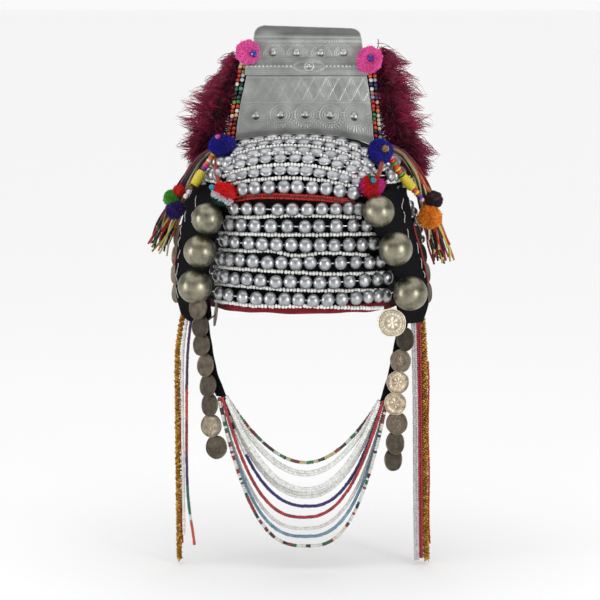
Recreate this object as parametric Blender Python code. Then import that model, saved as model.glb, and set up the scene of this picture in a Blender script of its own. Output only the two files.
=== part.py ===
"""A highland woman's headdress: a black cotton cap covered with rows of silver beads, an embossed
aluminium plate standing on its crown, silver balls on two cloth flaps, coins on two chin straps
with strings of seed beads between them, feather plumes, wool pompoms, tassels and side strands.

Metres, +Z up, the front faces -Y. The origin is the middle of the head opening at brow level.
"""

import math

import bmesh
import bpy
from mathutils import Matrix, Vector

MM = 0.001
SEW_GAP = 0.3 * MM  # clear space between two pieces that touch

# Cap
CAP_HALF_WIDTH = 98 * MM
CAP_HALF_DEPTH = 100 * MM
CAP_SQUARENESS = 2.4
CAP_RIM_Z = -10 * MM
CAP_SHOULDER_Z = 85 * MM
CROWN_RISE = 72 * MM
CROWN_SQUARENESS = 3.2
CAP_WALL = 2.5 * MM
CAP_SEGMENTS = 28

# Hem roll round the rim
HEM_TOP_Z = -3.5 * MM
HEM_BOTTOM_Z = -13 * MM
HEM_THICKNESS = 2.2 * MM

# Silver bead rows
SILVER_BEAD_RADIUS = 6 * MM
BEAD_SIDES = 8
ROUND_SIDES = 8  # sides of a string drawn as a tube, which is a bevel resolution of 2
SEED_STRING_RADIUS = 1.6 * MM
CROWN_ROW_RADIUS = 5 * MM
CROWN_ROW_POINTS = 13
RING_SHARE = 0.95  # the two wide rings of a meshed bead are this share of its radius
FLAT_SHARE = 0.94  # the middle of a flat side of an eight-sided bead

# Headdress plate: an aluminium sheet that leans back a little
PLATE_FOOT = Vector((0.5, 1.5, 157.8)) * MM
PLATE_LEAN = math.radians(4)
PLATE_SHEET = 1.2 * MM
BACKING_SHEET = 4 * MM
BACKING_MARGIN = 10 * MM
BACKING_COLUMNS = 10

# Coins
COIN_RADIUS = 12 * MM
BROW_COIN_RADIUS = 14.5 * MM
BROW_COIN_MIDDLE = Vector((89, -73, -27)) * MM
BROW_COIN_TURN = 4
COIN_THICKNESS = 1.8 * MM
COIN_SIDES = 10
STRAP_WIDTH = 14 * MM
STRAP_THICKNESS = 2.5 * MM
STRAP_TURN = 38
FLAP_THICKNESS = 3 * MM

LEFT = -1
RIGHT = 1
SIDES = {"left": LEFT, "right": RIGHT}

# The rows of silver beads below the red line: height, and x of the first and the last bead
LOWER_ROWS = (
    # z, first x, last x, beads
    (90.5, -69, 53, 10),
    (74, -75, 62, 11),
    (56.5, -80, 69, 12),
    (38, -84, 76, 13),
    (19.5, -87, 84, 14),
    (1.5, -85, 83, 14),
)

# The rows over the crown lie in planes that fan out from a line between the ears
CROWN_ROWS = (
    # degrees above level, first x, last x, its thread's distance from the cloth
    (15.5, -64, 52, 5.1),
    (24.2, -75, 49, 4.7),
    (32.4, -77, 60, 5.1),
    (39.9, -76, 60, 4.7),
    (48, -65, 54, 4.9),
    (59, -61, 53, 5.2),
)
# To the right of this x the rows sink, by this share of their angle over this width
CROWN_ROW_BEND = -25 * MM
CROWN_ROW_SINK = 0.18
CROWN_ROW_SINK_WIDTH = 85 * MM

# The plate, from its curved foot to its folded top: height along the sheet, its two edges, setback
PLATE_ROWS = (
    # up, left x, right x, back
    (0, -71, 72, 0),
    (16, -69, 70.5, 0),
    (38, -65, 68, 0),
    (60, -60, 64.5, 0),
    (82, -55.5, 61, 0),
    (100, -52, 58.5, 0),
    (106, -51, 57.5, 3),
    (111, -48, 54.5, 7),
)
PLATE_COLUMNS = 6
PLATE_FOOT_SAG = 4 * MM  # the foot follows the crown, so its ends are this much lower
BAND_ROWS = (
    # up, left x, right x, back
    (63.5, -61, 66, -1.6),
    (73, -60, 65, -2.4),
    (82, -58, 63, -1.6),
)
UPPER_BOSSES = ((-32, 86.8), (-8, 86.5), (17, 86.5), (41, 86.5))
LOWER_BOSSES = ((-50, 22), (-24.5, 21.5), (1, 21.5), (26.5, 21.5), (52, 22))
BOSS_RADIUS = 4 * MM
BOSS_RISE = 2.6 * MM

# The flaps, from their sewn top to their tip: height, then each edge's distance out and depth
FLAP_ROWS = {
    "left": (
        # z, inner x, inner y, outer x, outer y
        (111, 90.2, -50, 112, -36),
        (92, 82, -76, 120, -44),
        (60, 89, -74, 128, -42),
        (25, 96, -70, 132, -40),
        (-5, 95, -68, 131, -40),
        (-22, 94, -64, 126, -42),
        (-29, 101, -58, 118, -46),
    ),
    "right": (
        # z, inner x, inner y, outer x, outer y
        (108, 83.3, -64, 104, -42),
        (90, 62, -95, 108, -46),
        (66, 72, -93, 112, -46),
        (40, 83, -83.5, 120, -44),
        (15, 93, -74, 126, -42),
        (-12, 94, -70, 128, -42),
        (-30, 98, -62, 122, -46),
    ),
}

# The silver balls. Each one's x sets how far across its flap it sits.
BALLS = (
    # name, side, x, z, radius
    ("upper", "left", -97, 80, 16),
    ("middle", "left", -104.5, 47, 16.8),
    ("lower", "left", -110, 11, 17.4),
    ("upper", "right", 74.2, 89, 16),
    ("middle", "right", 91.5, 51, 17.3),
    ("lower", "right", 107, 4.5, 17.6),
)

BALL_BANDS = 7
BALL_FLAT_SHARE = 0.975  # the middle of the broadest of the ball's bands

# The chin straps' middle lines, from behind the flap to where the strings begin
STRAP_ROUTES = {
    # x, y, z
    "left": ((-106, -56, 4), (-104, -53.4, -20), (-102.7, -52.6, -30), (-98, -57, -60),
             (-93, -61, -82), (-84, -66, -104)),
    "right": ((104, -58, 4), (102, -56.8, -20), (101, -55.5, -30), (96, -58, -60),
              (91, -61, -82), (83, -66, -108)),
}

# The coins on the straps: middle, how far each is turned outwards, and how far it lies in front
# of the strap's middle
STRAP_COINS = {
    # x, z, degrees, out
    "left": (
        (-105.5, -31.5, 45, 10.2),
        (-104.5, -51, 46, 7.5),
        (-100.5, -72, 47, 6.2),
        (-98, -93, 47, 6.2),
        (-96.5, -113, 47, 6.4),
        (-95, -134.5, 30, 5.6),
        (-89.5, -156, 26, 5.4),
    ),
    "right": (
        (103.5, -46, 42, 5.2),
        (98.5, -67.5, 30, 6.6),
        (95.5, -89, 20, 8.6),
        (93, -110.5, 20, 8.8),
        (95, -131.5, 26, 7.6),
        (93.5, -152, 38, 6.4),
        (91.5, -169, 42, 5.6),
    ),
}

# The coins sewn behind the flaps' outer edges
FLAP_COIN_HEIGHTS = (57, 38, 19, 0)
FLAP_COIN_TURN = 60
FLAP_COIN_SHARE = 1.04
COIN_THREAD_RADIUS = 0.7 * MM
COIN_LAP_TILT = math.radians(8)

# A coin by the left end of the hem swings edge on from the same thread
HEM_COIN_MIDDLE = Vector((-89.5, -73, -18.5)) * MM
HEM_COIN_TURN = 84

# The strings between the chin straps, top to bottom. They leave each strap in a bundle of three
# layers from front to back, three strings in each.
CHIN_STRINGS = (
    # name, strings side by side, lowest x, lowest z, fullness
    ("red_green", 1, 2, -173, 1.95),
    ("white_upper", 2, 2, -184, 2.0),
    ("white_middle", 2, 3, -200, 2.15),
    ("white_third", 2, 2, -207.5, 2.2),
    ("dark_blue", 1, 5, -218, 2.4),
    ("red", 1, -1, -229, 2.5),
    ("white_lower", 1, 0, -242, 2.6),
    ("light_blue", 1, 2, -249.5, 2.7),
    ("many_coloured", 1, 3, -259, 2.8),
)
CHIN_STRING_POINTS = 12
CHIN_LAYERS = 3
CHIN_LAYER_DEPTHS = (-61.8, -66, -70.2)
CHIN_ENDS = {
    # x, z for the inner, middle and outer string of a layer
    "left": ((-78.6, -105.5), (-83, -104.8), (-86.5, -106.5)),
    "right": ((76.2, -110.5), (80.5, -108.8), (84, -111)),
}
SINGLE_STRING_RADIUS = 1.5 * MM
DOUBLE_STRING_RADIUS = 2 * MM

# The strands that hang behind the flaps' lower edges
SIDE_STRANDS = (
    # name, radius, how far across the flap its top is, route below the flap as x, y, z
    ("gold_left", 2.8, 0.95, ((-128.5, -35, -60), (-130, -36, -120), (-131, -38, -200), (-131, -40, -278))),
    ("white_left", 1.5, 0.8, ((-122.5, -38, -60), (-124, -39, -120), (-126, -41, -200), (-126, -43, -252))),
    ("coloured_left", 1.8, 0.67, ((-117.5, -39, -60), (-119, -41, -120), (-121.5, -43, -205), (-115, -46, -262))),
    ("grey_right", 2.8, 0.64, ((113.5, -41, -60), (115, -42, -120), (116, -44, -215), (117, -46, -278))),
    ("red_right", 1.6, 0.79, ((119, -39, -60), (120.5, -40, -120), (121.5, -42, -215), (123, -44, -276))),
    ("gold_right", 2.8, 0.92, ((125, -36, -60), (126.5, -37, -120), (128, -39, -215), (129, -41, -278))),
)
SIDE_STRAND_TOP_Z = -17 * MM
SIDE_STRAND_POINTS = 7

# Feather plumes: height, thickness of the down, how far the quill hangs out from the backing's
# edge, and how long the locks are
PLUME_ROWS = {
    "left": (
        (236, 3, 1, 10),
        (226, 7, 0, 16),
        (210, 9, 0, 18),
        (193, 11, 0, 22),
        (175, 12, 0, 24),
        (158, 12, 5, 24),
        (142, 9, 12, 20),
        (131, 4, 20, 10),
    ),
    "right": (
        (238, 3, 3, 10),
        (228, 8, 0, 16),
        (211, 10, 0, 18),
        (193, 12, 0, 22),
        (175, 12, 0, 24),
        (157, 12, 8, 24),
        (139, 10, 18, 20),
        (122, 4, 30, 10),
    ),
}
PLUME_DEPTH = 12 * MM
PLUME_SIDES = 8

# Pompoms: middle, radius, and how flat from front to back
POMPOMS = (
    # name, x, y, z, radius, flatness
    ("pink_pompom_left", -59, -2.2, 244, 13, 0.6),
    ("pink_pompom_right", 68, -3.6, 236.5, 14, 0.6),
    ("blue_pompom_left", -81.6, -46.9, 151.4, 13.4, 1.0),
    ("blue_pompom_right", 76.6, -67.7, 145.8, 13.4, 1.0),
)

# Each small pompom hangs on a string of seeds from the blue one above it
HANGING_POMPOMS = (
    # name, top of the string, knee over the crown's edge, pompom's middle, radius
    ("red_pompom_left", (-89, -52, 138), (-88, -68, 122), (-80.5, -86.5, 105), 12.2),
    ("red_pompom_right", (78, -77, 136), (76, -84, 127), (67, -93.5, 113), 12.4),
)

# Drops of beads with a yellow wrapped bead: route points and radii
BEAD_DROPS = {
    # x, y, z, radius
    "left": (
        (-92.1, -45.4, 142.5, 2.2),
        (-102, -47, 127, 2.2),
        (-103, -47.5, 125.5, 5),
        (-111.5, -50, 111.5, 5),
        (-112.5, -50.5, 110, 2.2),
        (-120, -52, 100, 2.2),
    ),
    "right": (
        (87.6, -60.2, 139.8, 2.2),
        (97.5, -56, 124, 2.2),
        (98.5, -55.5, 122.5, 5),
        (111.5, -52, 107, 5),
        (112.5, -52, 106, 2.2),
        (120, -52, 96.5, 2.2),
    ),
}

# Wool tassels: the bound top, the bundle, its lower end, and the tips of its locks
TASSELS = {
    "left": {
        "bundle": ((-91.2, -37.6, 147.2, 2.5), (-106, -30, 136, 4), (-118, -24, 116, 6), (-128, -20, 95, 8.5)),
        "tips": (-153, -18, 40),
        "spread": 9,
        "pompoms": ((-132, -34, 85, 10.5), (-138, -32, 98, 8.5)),
    },
    "right": {
        "bundle": ((86.6, -58.2, 150.3, 2.5), (102, -46, 140, 4), (117, -32, 118, 6), (127, -25, 90, 9)),
        "tips": (145, -22, 27),
        "spread": 9,
        "pompoms": ((129, -40, 78, 12.8), (133, -37, 95, 9.5)),
    },
}
TASSEL_LOCKS = 9

# The loose string of silver beads behind the right flap: route points as x, y, z
SIDE_BEAD_TOP = (100, 0.9)  # height, and how far across the flap
SIDE_BEAD_ROUTE = ((104, -28, 86), (112, -18, 70), (117, -15, 55), (117, -15, 42))
SIDE_BEADS = 6
SIDE_BEAD_RADIUS = 4.5 * MM

# Colours and finishes, as linear red, green, blue, then roughness and metallic
FINISHES = {
    "black_cotton": ((0.008, 0.008, 0.011), 0.9, 0.0),
    "hem_cotton": ((0.16, 0.01, 0.014), 0.85, 0.0),
    "silver_bead": ((0.62, 0.63, 0.64), 0.28, 0.9),
    "aluminium_sheet": ((0.42, 0.43, 0.43), 0.38, 1.0),
    "nickel_silver": ((0.48, 0.46, 0.38), 0.26, 1.0),
    "old_coin": ((0.17, 0.14, 0.11), 0.5, 0.8),
    "bright_coin": ((0.6, 0.53, 0.42), 0.4, 0.8),
    "white_seed": ((0.8, 0.8, 0.78), 0.3, 0.0),
    "red_seed": ((0.42, 0.02, 0.015), 0.3, 0.0),
    "dark_blue_seed": ((0.01, 0.008, 0.12), 0.3, 0.0),
    "light_blue_seed": ((0.12, 0.27, 0.36), 0.3, 0.0),
    "mixed_seed": ((0.3, 0.12, 0.06), 0.35, 0.0),
    "gold_thread": ((0.43, 0.2, 0.03), 0.5, 0.0),
    "crimson_feather": ((0.16, 0.008, 0.04), 0.9, 0.0),
    "pink_wool": ((0.74, 0.06, 0.35), 0.95, 0.0),
    "blue_wool": ((0.015, 0.01, 0.25), 0.95, 0.0),
    "red_wool": ((0.63, 0.012, 0.012), 0.95, 0.0),
    "mixed_wool": ((0.25, 0.1, 0.08), 0.95, 0.0),
    "yellow_bead": ((0.68, 0.55, 0.02), 0.4, 0.0),
}


def clear_scene():
    for obj in list(bpy.data.objects):
        bpy.data.objects.remove(obj, do_unlink=True)


def finish(name):
    """The material of this finish, made when it is first asked for."""
    if name in bpy.data.materials:
        return bpy.data.materials[name]
    colour, roughness, metallic = FINISHES[name]
    material = bpy.data.materials.new(name)
    material.use_nodes = True
    shader = material.node_tree.nodes["Principled BSDF"]
    shader.inputs["Base Color"].default_value = (*colour, 1)
    shader.inputs["Roughness"].default_value = roughness
    shader.inputs["Metallic"].default_value = metallic
    material.diffuse_color = (*colour, 1)
    return material


def new_object(name, data, finish_name):
    obj = bpy.data.objects.new(name, data)
    bpy.context.scene.collection.objects.link(obj)
    data.materials.append(finish(finish_name))
    return obj


def mesh_object(name, bm, finish_name, sharp_degrees=50):
    """Ends a bmesh as a named object, smooth where it is round."""
    bm.normal_update()
    bmesh.ops.recalc_face_normals(bm, faces=bm.faces)
    mesh = bpy.data.meshes.new(name)
    bm.to_mesh(mesh)
    bm.free()
    mesh.shade_smooth()
    mesh.set_sharp_from_angle(angle=math.radians(sharp_degrees))
    return new_object(name, mesh, finish_name)


def fuse(obj, others):
    """Unites the object with helpers that overlap it, and keeps the helpers out of the model."""
    for other in others:
        other.hide_render = True
        other.display_type = "WIRE"
        union = obj.modifiers.new("Fuse " + other.name, "BOOLEAN")
        union.operation = "UNION"
        union.object = other


def loop_of(bm, points):
    return [bm.verts.new(point) for point in points]


def bridge(bm, first, second):
    """Faces between two closed loops of as many points."""
    count = len(first)
    for i in range(count):
        j = (i + 1) % count
        bm.faces.new((first[i], first[j], second[j], second[i]))


def smooth_route(points, count):
    """Reads this many points, evenly spaced, from a smooth curve through the route's points."""
    points = [Vector(point) for point in points]
    padded = [2 * points[0] - points[1], *points, 2 * points[-1] - points[-2]]
    fine = []
    for a, b, c, d in zip(padded, padded[1:], padded[2:], padded[3:]):
        for step in range(24):
            t = step / 24
            fine.append(
                0.5 * (2 * b + (c - a) * t + (2 * a - 5 * b + 4 * c - d) * t**2
                       + (3 * b - a - 3 * c + d) * t**3)
            )
    fine.append(points[-1])
    return evenly(fine, count)


def evenly(points, count):
    """This many points at equal steps along a fine polyline."""
    lengths = [0.0]
    for a, b in zip(points, points[1:]):
        lengths.append(lengths[-1] + (b - a).length)
    result = []
    i = 0
    for k in range(count):
        target = lengths[-1] * k / (count - 1)
        while i < len(points) - 2 and lengths[i + 1] < target:
            i += 1
        span = lengths[i + 1] - lengths[i]
        result.append(points[i].lerp(points[i + 1], (target - lengths[i]) / span))
    return result


def tube_object(name, points, radius, finish_name):
    """A string of seeds as a plain round tube along a route."""
    curve = bpy.data.curves.new(name, "CURVE")
    curve.dimensions = "3D"
    curve.bevel_depth = radius
    curve.bevel_resolution = 2
    curve.use_fill_caps = True
    spline = curve.splines.new("POLY")
    spline.points.add(len(points) - 1)
    for place, point in zip(spline.points, points):
        place.co = (*point, 1)
    return new_object(name, curve, finish_name)


def lathe_along(bm, stations, sides):
    """A closed round form along stations of (point, radius), its ends capped."""
    points = [point for point, _ in stations]
    side = Vector((0, 0, 1))
    rings = []
    for i, (point, radius) in enumerate(stations):
        along = (points[min(i + 1, len(points) - 1)] - points[max(i - 1, 0)]).normalized()
        side = side - along * side.dot(along)
        if side.length < 1e-3:
            side = along.orthogonal()
        side.normalize()
        across = along.cross(side)
        turns = [2 * math.pi * k / sides for k in range(sides)]
        rings.append(
            loop_of(bm, [point + radius * (math.cos(t) * side + math.sin(t) * across) for t in turns])
        )
    for first, second in zip(rings, rings[1:]):
        bridge(bm, first, second)
    ends = [bm.faces.new(rings[0]), bm.faces.new(rings[-1])]
    return rings, ends


def ball(bm, middle, radius, sides=12, bands=8, flatness=1.0):
    """A sphere, its poles up and down, pressed flatter from front to back if asked."""
    shape = Matrix.Translation(middle) @ Matrix.Diagonal((1, flatness, 1, 1))
    bmesh.ops.create_uvsphere(bm, u_segments=sides, v_segments=bands, radius=radius, matrix=shape)


def crown_fraction(z, clear=0.0):
    """How much of the cap's full plan is left at this height, 1 below the shoulder."""
    if z <= CAP_SHOULDER_Z:
        return 1.0
    part = (z - CAP_SHOULDER_Z) / (CROWN_RISE + clear)
    return max(0.0, 1 - part**CROWN_SQUARENESS) ** (1 / CROWN_SQUARENESS)


def plan_point(turn, fraction, clear=0.0):
    """A point of the cap's rounded-square plan, turn 0 at +X, this far clear of the cloth."""
    power = 2 / CAP_SQUARENESS
    x = math.copysign(abs(math.cos(turn)) ** power, math.cos(turn))
    y = math.copysign(abs(math.sin(turn)) ** power, math.sin(turn))
    return Vector((x * (CAP_HALF_WIDTH + clear), y * (CAP_HALF_DEPTH + clear), 0)) * fraction


def plan_measure(x, y, clear=0.0):
    """0 in the middle of the plan and 1 on its outline."""
    across = abs(x) / (CAP_HALF_WIDTH + clear)
    along = abs(y) / (CAP_HALF_DEPTH + clear)
    return (across**CAP_SQUARENESS + along**CAP_SQUARENESS) ** (1 / CAP_SQUARENESS)


def crown_height(x, y, clear=0.0):
    """The height of the crown's outside at a place seen from above."""
    measure = min(1.0, plan_measure(x, y, clear))
    rise = (CROWN_RISE + clear) * (1 - measure**CROWN_SQUARENESS) ** (1 / CROWN_SQUARENESS)
    return CAP_SHOULDER_Z + rise


def front_point(x, z, clear):
    """The point of the cap's front at this x and height."""
    reach = crown_fraction(z, clear) ** CAP_SQUARENESS - (abs(x) / (CAP_HALF_WIDTH + clear)) ** CAP_SQUARENESS
    depth = (CAP_HALF_DEPTH + clear) * max(reach, 0.0) ** (1 / CAP_SQUARENESS)
    return Vector((x, -depth, z))


def crown_row_point(x, angle, clear):
    """Where a plane that fans out from the ear line cuts the crown at this x."""
    angle *= 1 - CROWN_ROW_SINK * (max(0.0, x - CROWN_ROW_BEND) / CROWN_ROW_SINK_WIDTH) ** 2
    near, far = 0.0, 0.2
    for _ in range(40):
        reach = (near + far) / 2
        y = -reach * math.cos(angle)
        rise = reach * math.sin(angle) / (CROWN_RISE + clear)
        measure = plan_measure(x, y, clear) ** CROWN_SQUARENESS + rise**CROWN_SQUARENESS
        if measure > 1:
            far = reach
        else:
            near = reach
    return Vector((x, -near * math.cos(angle), CAP_SHOULDER_Z + near * math.sin(angle)))


def make_cap():
    """The cotton cap: one wall, open below, its inside parallel to its outside."""
    outside = [(CAP_RIM_Z, 1.0), (CAP_SHOULDER_Z, 1.0)]
    for part in (0.3, 0.56, 0.79, 0.93, 0.99):
        z = CAP_SHOULDER_Z + CROWN_RISE * part
        outside.append((z, crown_fraction(z)))
    bm = bmesh.new()
    turns = [2 * math.pi * k / CAP_SEGMENTS for k in range(CAP_SEGMENTS)]
    outer = []
    inner = []
    for z, fraction in outside:
        level = Vector((0, 0, z))
        outer.append(loop_of(bm, [plan_point(t, fraction) + level for t in turns]))
        drop = CAP_WALL * (z > CAP_SHOULDER_Z)
        level = Vector((0, 0, z - drop))
        inner.append(loop_of(bm, [plan_point(t, fraction, -CAP_WALL) + level for t in turns]))
    for rings in (outer, inner):
        for first, second in zip(rings, rings[1:]):
            bridge(bm, first, second)
        top = bm.verts.new((0, 0, CAP_SHOULDER_Z + CROWN_RISE - CAP_WALL * (rings is inner)))
        for i, corner in enumerate(rings[-1]):
            bm.faces.new((corner, rings[-1][(i + 1) % CAP_SEGMENTS], top))
    bridge(bm, outer[0], inner[0])
    return mesh_object("cap_shell", bm, "black_cotton", 60)


def make_hem():
    """The red roll sewn round the rim."""
    bm = bmesh.new()
    turns = [2 * math.pi * k / CAP_SEGMENTS for k in range(CAP_SEGMENTS)]
    inside = SEW_GAP
    outside = SEW_GAP + HEM_THICKNESS
    corners = (
        (inside, HEM_TOP_Z),
        (outside, HEM_TOP_Z - 1 * MM),
        (outside, HEM_BOTTOM_Z + 1 * MM),
        (inside, HEM_BOTTOM_Z),
    )
    rings = []
    for clear, z in corners:
        rings.append(loop_of(bm, [plan_point(t, 1.0, clear) + Vector((0, 0, z)) for t in turns]))
    for i, ring in enumerate(rings):
        bridge(bm, ring, rings[(i + 1) % len(rings)])
    return mesh_object("hem_trim", bm, "hem_cotton")


def bead_string(name, centres, radius, finish_name):
    """Round beads fused along their thread."""
    bm = bmesh.new()
    stations = []
    for i, centre in enumerate(centres):
        before = centres[max(i - 1, 0)]
        after = centres[min(i + 1, len(centres) - 1)]
        along = (after - before).normalized() * radius
        if i == 0:
            stations.append((centre - along, 0.3 * radius))
        stations.append((centre - 0.42 * along, RING_SHARE * radius))
        stations.append((centre + 0.42 * along, RING_SHARE * radius))
        neck = centre + along if i == len(centres) - 1 else (centre + after) / 2
        stations.append((neck, 0.3 * radius))
    lathe_along(bm, stations, BEAD_SIDES)
    return mesh_object(name, bm, finish_name, 75)


def make_lower_rows():
    clear = SILVER_BEAD_RADIUS * RING_SHARE * FLAT_SHARE + SEW_GAP
    for number, (z, first, last, beads) in enumerate(LOWER_ROWS, 1):
        steps = 120
        xs = [(first + (last - first) * k / steps) * MM for k in range(steps + 1)]
        centres = evenly([front_point(x, z * MM, clear) for x in xs], beads)
        bead_string(f"silver_row_{number}", centres, SILVER_BEAD_RADIUS, "silver_bead")


def make_crown_rows():
    """The rows over the crown, each string as a tube of its beads' width."""
    for number, (degrees, first, last, clear) in enumerate(CROWN_ROWS, 1):
        angle = math.radians(degrees)
        steps = 80
        xs = [(first + (last - first) * k / steps) * MM for k in range(steps + 1)]
        points = [crown_row_point(x, angle, clear * MM) for x in xs]
        tube_object(
            f"crown_row_{number}", evenly(points, CROWN_ROW_POINTS), CROWN_ROW_RADIUS, "silver_bead"
        )


def sheet_form(bm, rows, columns, thickness, place):
    """A closed sheet through rows of (up, left, right, back), which place puts in the world.

    Returns the grid of its front and the grid of its back.
    """
    layers = []
    for depth in (0.0, thickness):
        layer = []
        for up, left, right, back in rows:
            across = [left + (right - left) * k / columns for k in range(columns + 1)]
            layer.append([bm.verts.new(place(x, up, back + depth)) for x in across])
        layers.append(layer)
    front, rear = layers
    last = len(rows) - 1
    for i in range(last):
        for j in range(columns):
            for layer in layers:
                bm.faces.new((layer[i][j], layer[i][j + 1], layer[i + 1][j + 1], layer[i + 1][j]))
        for j in (0, columns):
            bm.faces.new((front[i][j], front[i + 1][j], rear[i + 1][j], rear[i][j]))
    for i in (0, last):
        for j in range(columns):
            bm.faces.new((front[i][j], front[i][j + 1], rear[i][j + 1], rear[i][j]))
    return layers


def plate_place(x, up, back):
    """A point of the leaning plate. Near its foot the sheet follows the crown's arc."""
    fade = max(0.0, 1 - up / (36 * MM))
    up = up - PLATE_FOOT_SAG * fade * (x / (72 * MM)) ** 2
    lean = Vector((0, math.sin(PLATE_LEAN), math.cos(PLATE_LEAN)))
    return PLATE_FOOT + Vector((x, 0, 0)) + lean * up + Vector((0, back, 0))


def make_plate():
    rows = [[value * MM for value in row] for row in PLATE_ROWS]
    bm = bmesh.new()
    sheet_form(bm, rows, PLATE_COLUMNS, PLATE_SHEET, plate_place)
    plate = mesh_object("headdress_plate", bm, "aluminium_sheet")
    bm = bmesh.new()
    for x, up in UPPER_BOSSES + LOWER_BOSSES:
        middle = plate_place(x * MM, up * MM, PLATE_SHEET / 2)
        ball(bm, middle, BOSS_RADIUS, 8, 4, (BOSS_RISE + PLATE_SHEET / 2) / BOSS_RADIUS)
    for vert in bm.verts:
        # The bosses are raised on the front alone.
        back = plate_place(vert.co.x, 0, 0).y + (vert.co.z - PLATE_FOOT.z) * math.tan(PLATE_LEAN)
        vert.co.y = min(vert.co.y, back + 0.8 * PLATE_SHEET)
    fuse(plate, [mesh_object("plate_bosses", bm, "aluminium_sheet")])


def make_band():
    """The narrow band of sheet that crosses the plate."""
    rows = [[value * MM for value in row] for row in BAND_ROWS]
    bm = bmesh.new()
    sheet_form(bm, rows, PLATE_COLUMNS, PLATE_SHEET, plate_place)
    mesh_object("plate_band", bm, "aluminium_sheet")


def make_backing():
    """The cloth-covered board behind the plate. Its foot is cut to the crown's arc."""
    gap = PLATE_SHEET + SEW_GAP
    rows = [
        (0, -71 * MM - BACKING_MARGIN, 72 * MM + BACKING_MARGIN, gap),
        (36 * MM, -65 * MM - BACKING_MARGIN, 68 * MM + BACKING_MARGIN, gap),
        (70 * MM, -58 * MM - BACKING_MARGIN, 63 * MM + BACKING_MARGIN, gap),
        (88 * MM, -54 * MM, 59.5 * MM, gap),
    ]
    bm = bmesh.new()
    layers = sheet_form(bm, rows, BACKING_COLUMNS, BACKING_SHEET, plate_place)
    back = PLATE_FOOT.y + gap
    for front, rear in zip(layers[0][0], layers[1][0]):
        height = max(crown_height(front.co.x, y) for y in (back, back + BACKING_SHEET))
        for corner, y in ((front, back), (rear, back + BACKING_SHEET)):
            corner.co.y = y
            corner.co.z = height + 2 * SEW_GAP
    mesh_object("plate_backing", bm, "black_cotton")


def flap_point(side, z, share, out=0.0):
    """A point on a flap's middle: share 0 at its inner edge, 1 at its outer; out is off its face."""
    rows = FLAP_ROWS[side]
    z = z / MM
    for upper, lower in zip(rows, rows[1:]):
        if upper[0] >= z >= lower[0] or lower is rows[-1]:
            break
    part = (upper[0] - z) / (upper[0] - lower[0])
    row = [a + (b - a) * part for a, b in zip(upper, lower)]
    sign = SIDES[side]
    inner = Vector((row[1] * sign, row[2], z)) * MM
    outer = Vector((row[3] * sign, row[4], z)) * MM
    across = (outer - inner).normalized()
    normal = Vector((across.y, -across.x, 0)) * sign
    return inner.lerp(outer, share) + normal * out


def make_flap(side):
    """The padded cloth flap that carries the balls."""
    bm = bmesh.new()
    shares = (0.0, 0.05, 0.5, 0.95, 1.0)
    puff = (0.5, 1.0, 1.0, 1.0, 0.5)
    rings = []
    for row in FLAP_ROWS[side]:
        front = [flap_point(side, row[0] * MM, s, p * FLAP_THICKNESS / 2) for s, p in zip(shares, puff)]
        back = [flap_point(side, row[0] * MM, s, -p * FLAP_THICKNESS / 2) for s, p in zip(shares, puff)]
        rings.append(loop_of(bm, front + back[::-1]))
    for first, second in zip(rings, rings[1:]):
        bridge(bm, first, second)
    bm.faces.new(rings[0])
    bm.faces.new(rings[-1])
    mesh_object(f"side_flap_{side}", bm, "black_cotton")


def make_balls():
    """Each ball is seated on its flap's face at its own place across the flap."""
    for name, side, x, z, radius in BALLS:
        inner = flap_point(side, z * MM, 0)
        outer = flap_point(side, z * MM, 1)
        out = FLAP_THICKNESS / 2 + SEW_GAP + BALL_FLAT_SHARE * radius * MM
        lift = flap_point(side, z * MM, 0, out) - inner
        share = (x * MM - lift.x - inner.x) / (outer.x - inner.x)
        bm = bmesh.new()
        ball(bm, Vector(), radius * MM, bands=BALL_BANDS)
        # One line of corners faces the flap, so that the gap there is the stated one.
        turn = Matrix.Rotation(math.atan2(lift.y, lift.x), 4, "Z")
        bm.transform(Matrix.Translation(inner.lerp(outer, share) + lift) @ turn)
        mesh_object(f"silver_ball_{name}_{side}", bm, "nickel_silver", 80)


def strap_axes(side):
    """The strap's direction across its width, outwards, and the direction its face looks in."""
    turn = math.radians(STRAP_TURN)
    across = Vector((SIDES[side] * math.cos(turn), math.sin(turn), 0))
    face = Vector((SIDES[side] * math.sin(turn), -math.cos(turn), 0))
    return across, face


def strap_route(side, count):
    return smooth_route([Vector(p) * MM for p in STRAP_ROUTES[side]], count)


def make_strap(side):
    """The cloth strap below a flap: a flat ribbon turned outwards as the flap is."""
    across, face = strap_axes(side)
    wide = across * STRAP_WIDTH / 2
    thick = face * STRAP_THICKNESS / 2
    bm = bmesh.new()
    rings = []
    for point in strap_route(side, 9):
        corners = (wide + thick, thick - wide, -wide - thick, wide - thick)
        rings.append(loop_of(bm, [point + corner for corner in corners]))
    for first, second in zip(rings, rings[1:]):
        bridge(bm, first, second)
    bm.faces.new(rings[0])
    bm.faces.new(rings[-1])
    mesh_object(f"chin_strap_{side}", bm, "black_cotton")


def coin_disc(bm, side, middle, degrees, radius=COIN_RADIUS):
    """One coin, turned outwards by its angle, its lower edge lapping the coin below."""
    turn = Matrix.Rotation(math.radians(degrees) * SIDES[side], 4, "Z")
    stand = Matrix.Rotation(math.pi / 2 - COIN_LAP_TILT, 4, "X")
    bmesh.ops.create_cone(
        bm, cap_ends=True, segments=COIN_SIDES, radius1=radius, radius2=radius,
        depth=COIN_THICKNESS, matrix=Matrix.Translation(middle) @ turn @ stand,
    )


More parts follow.
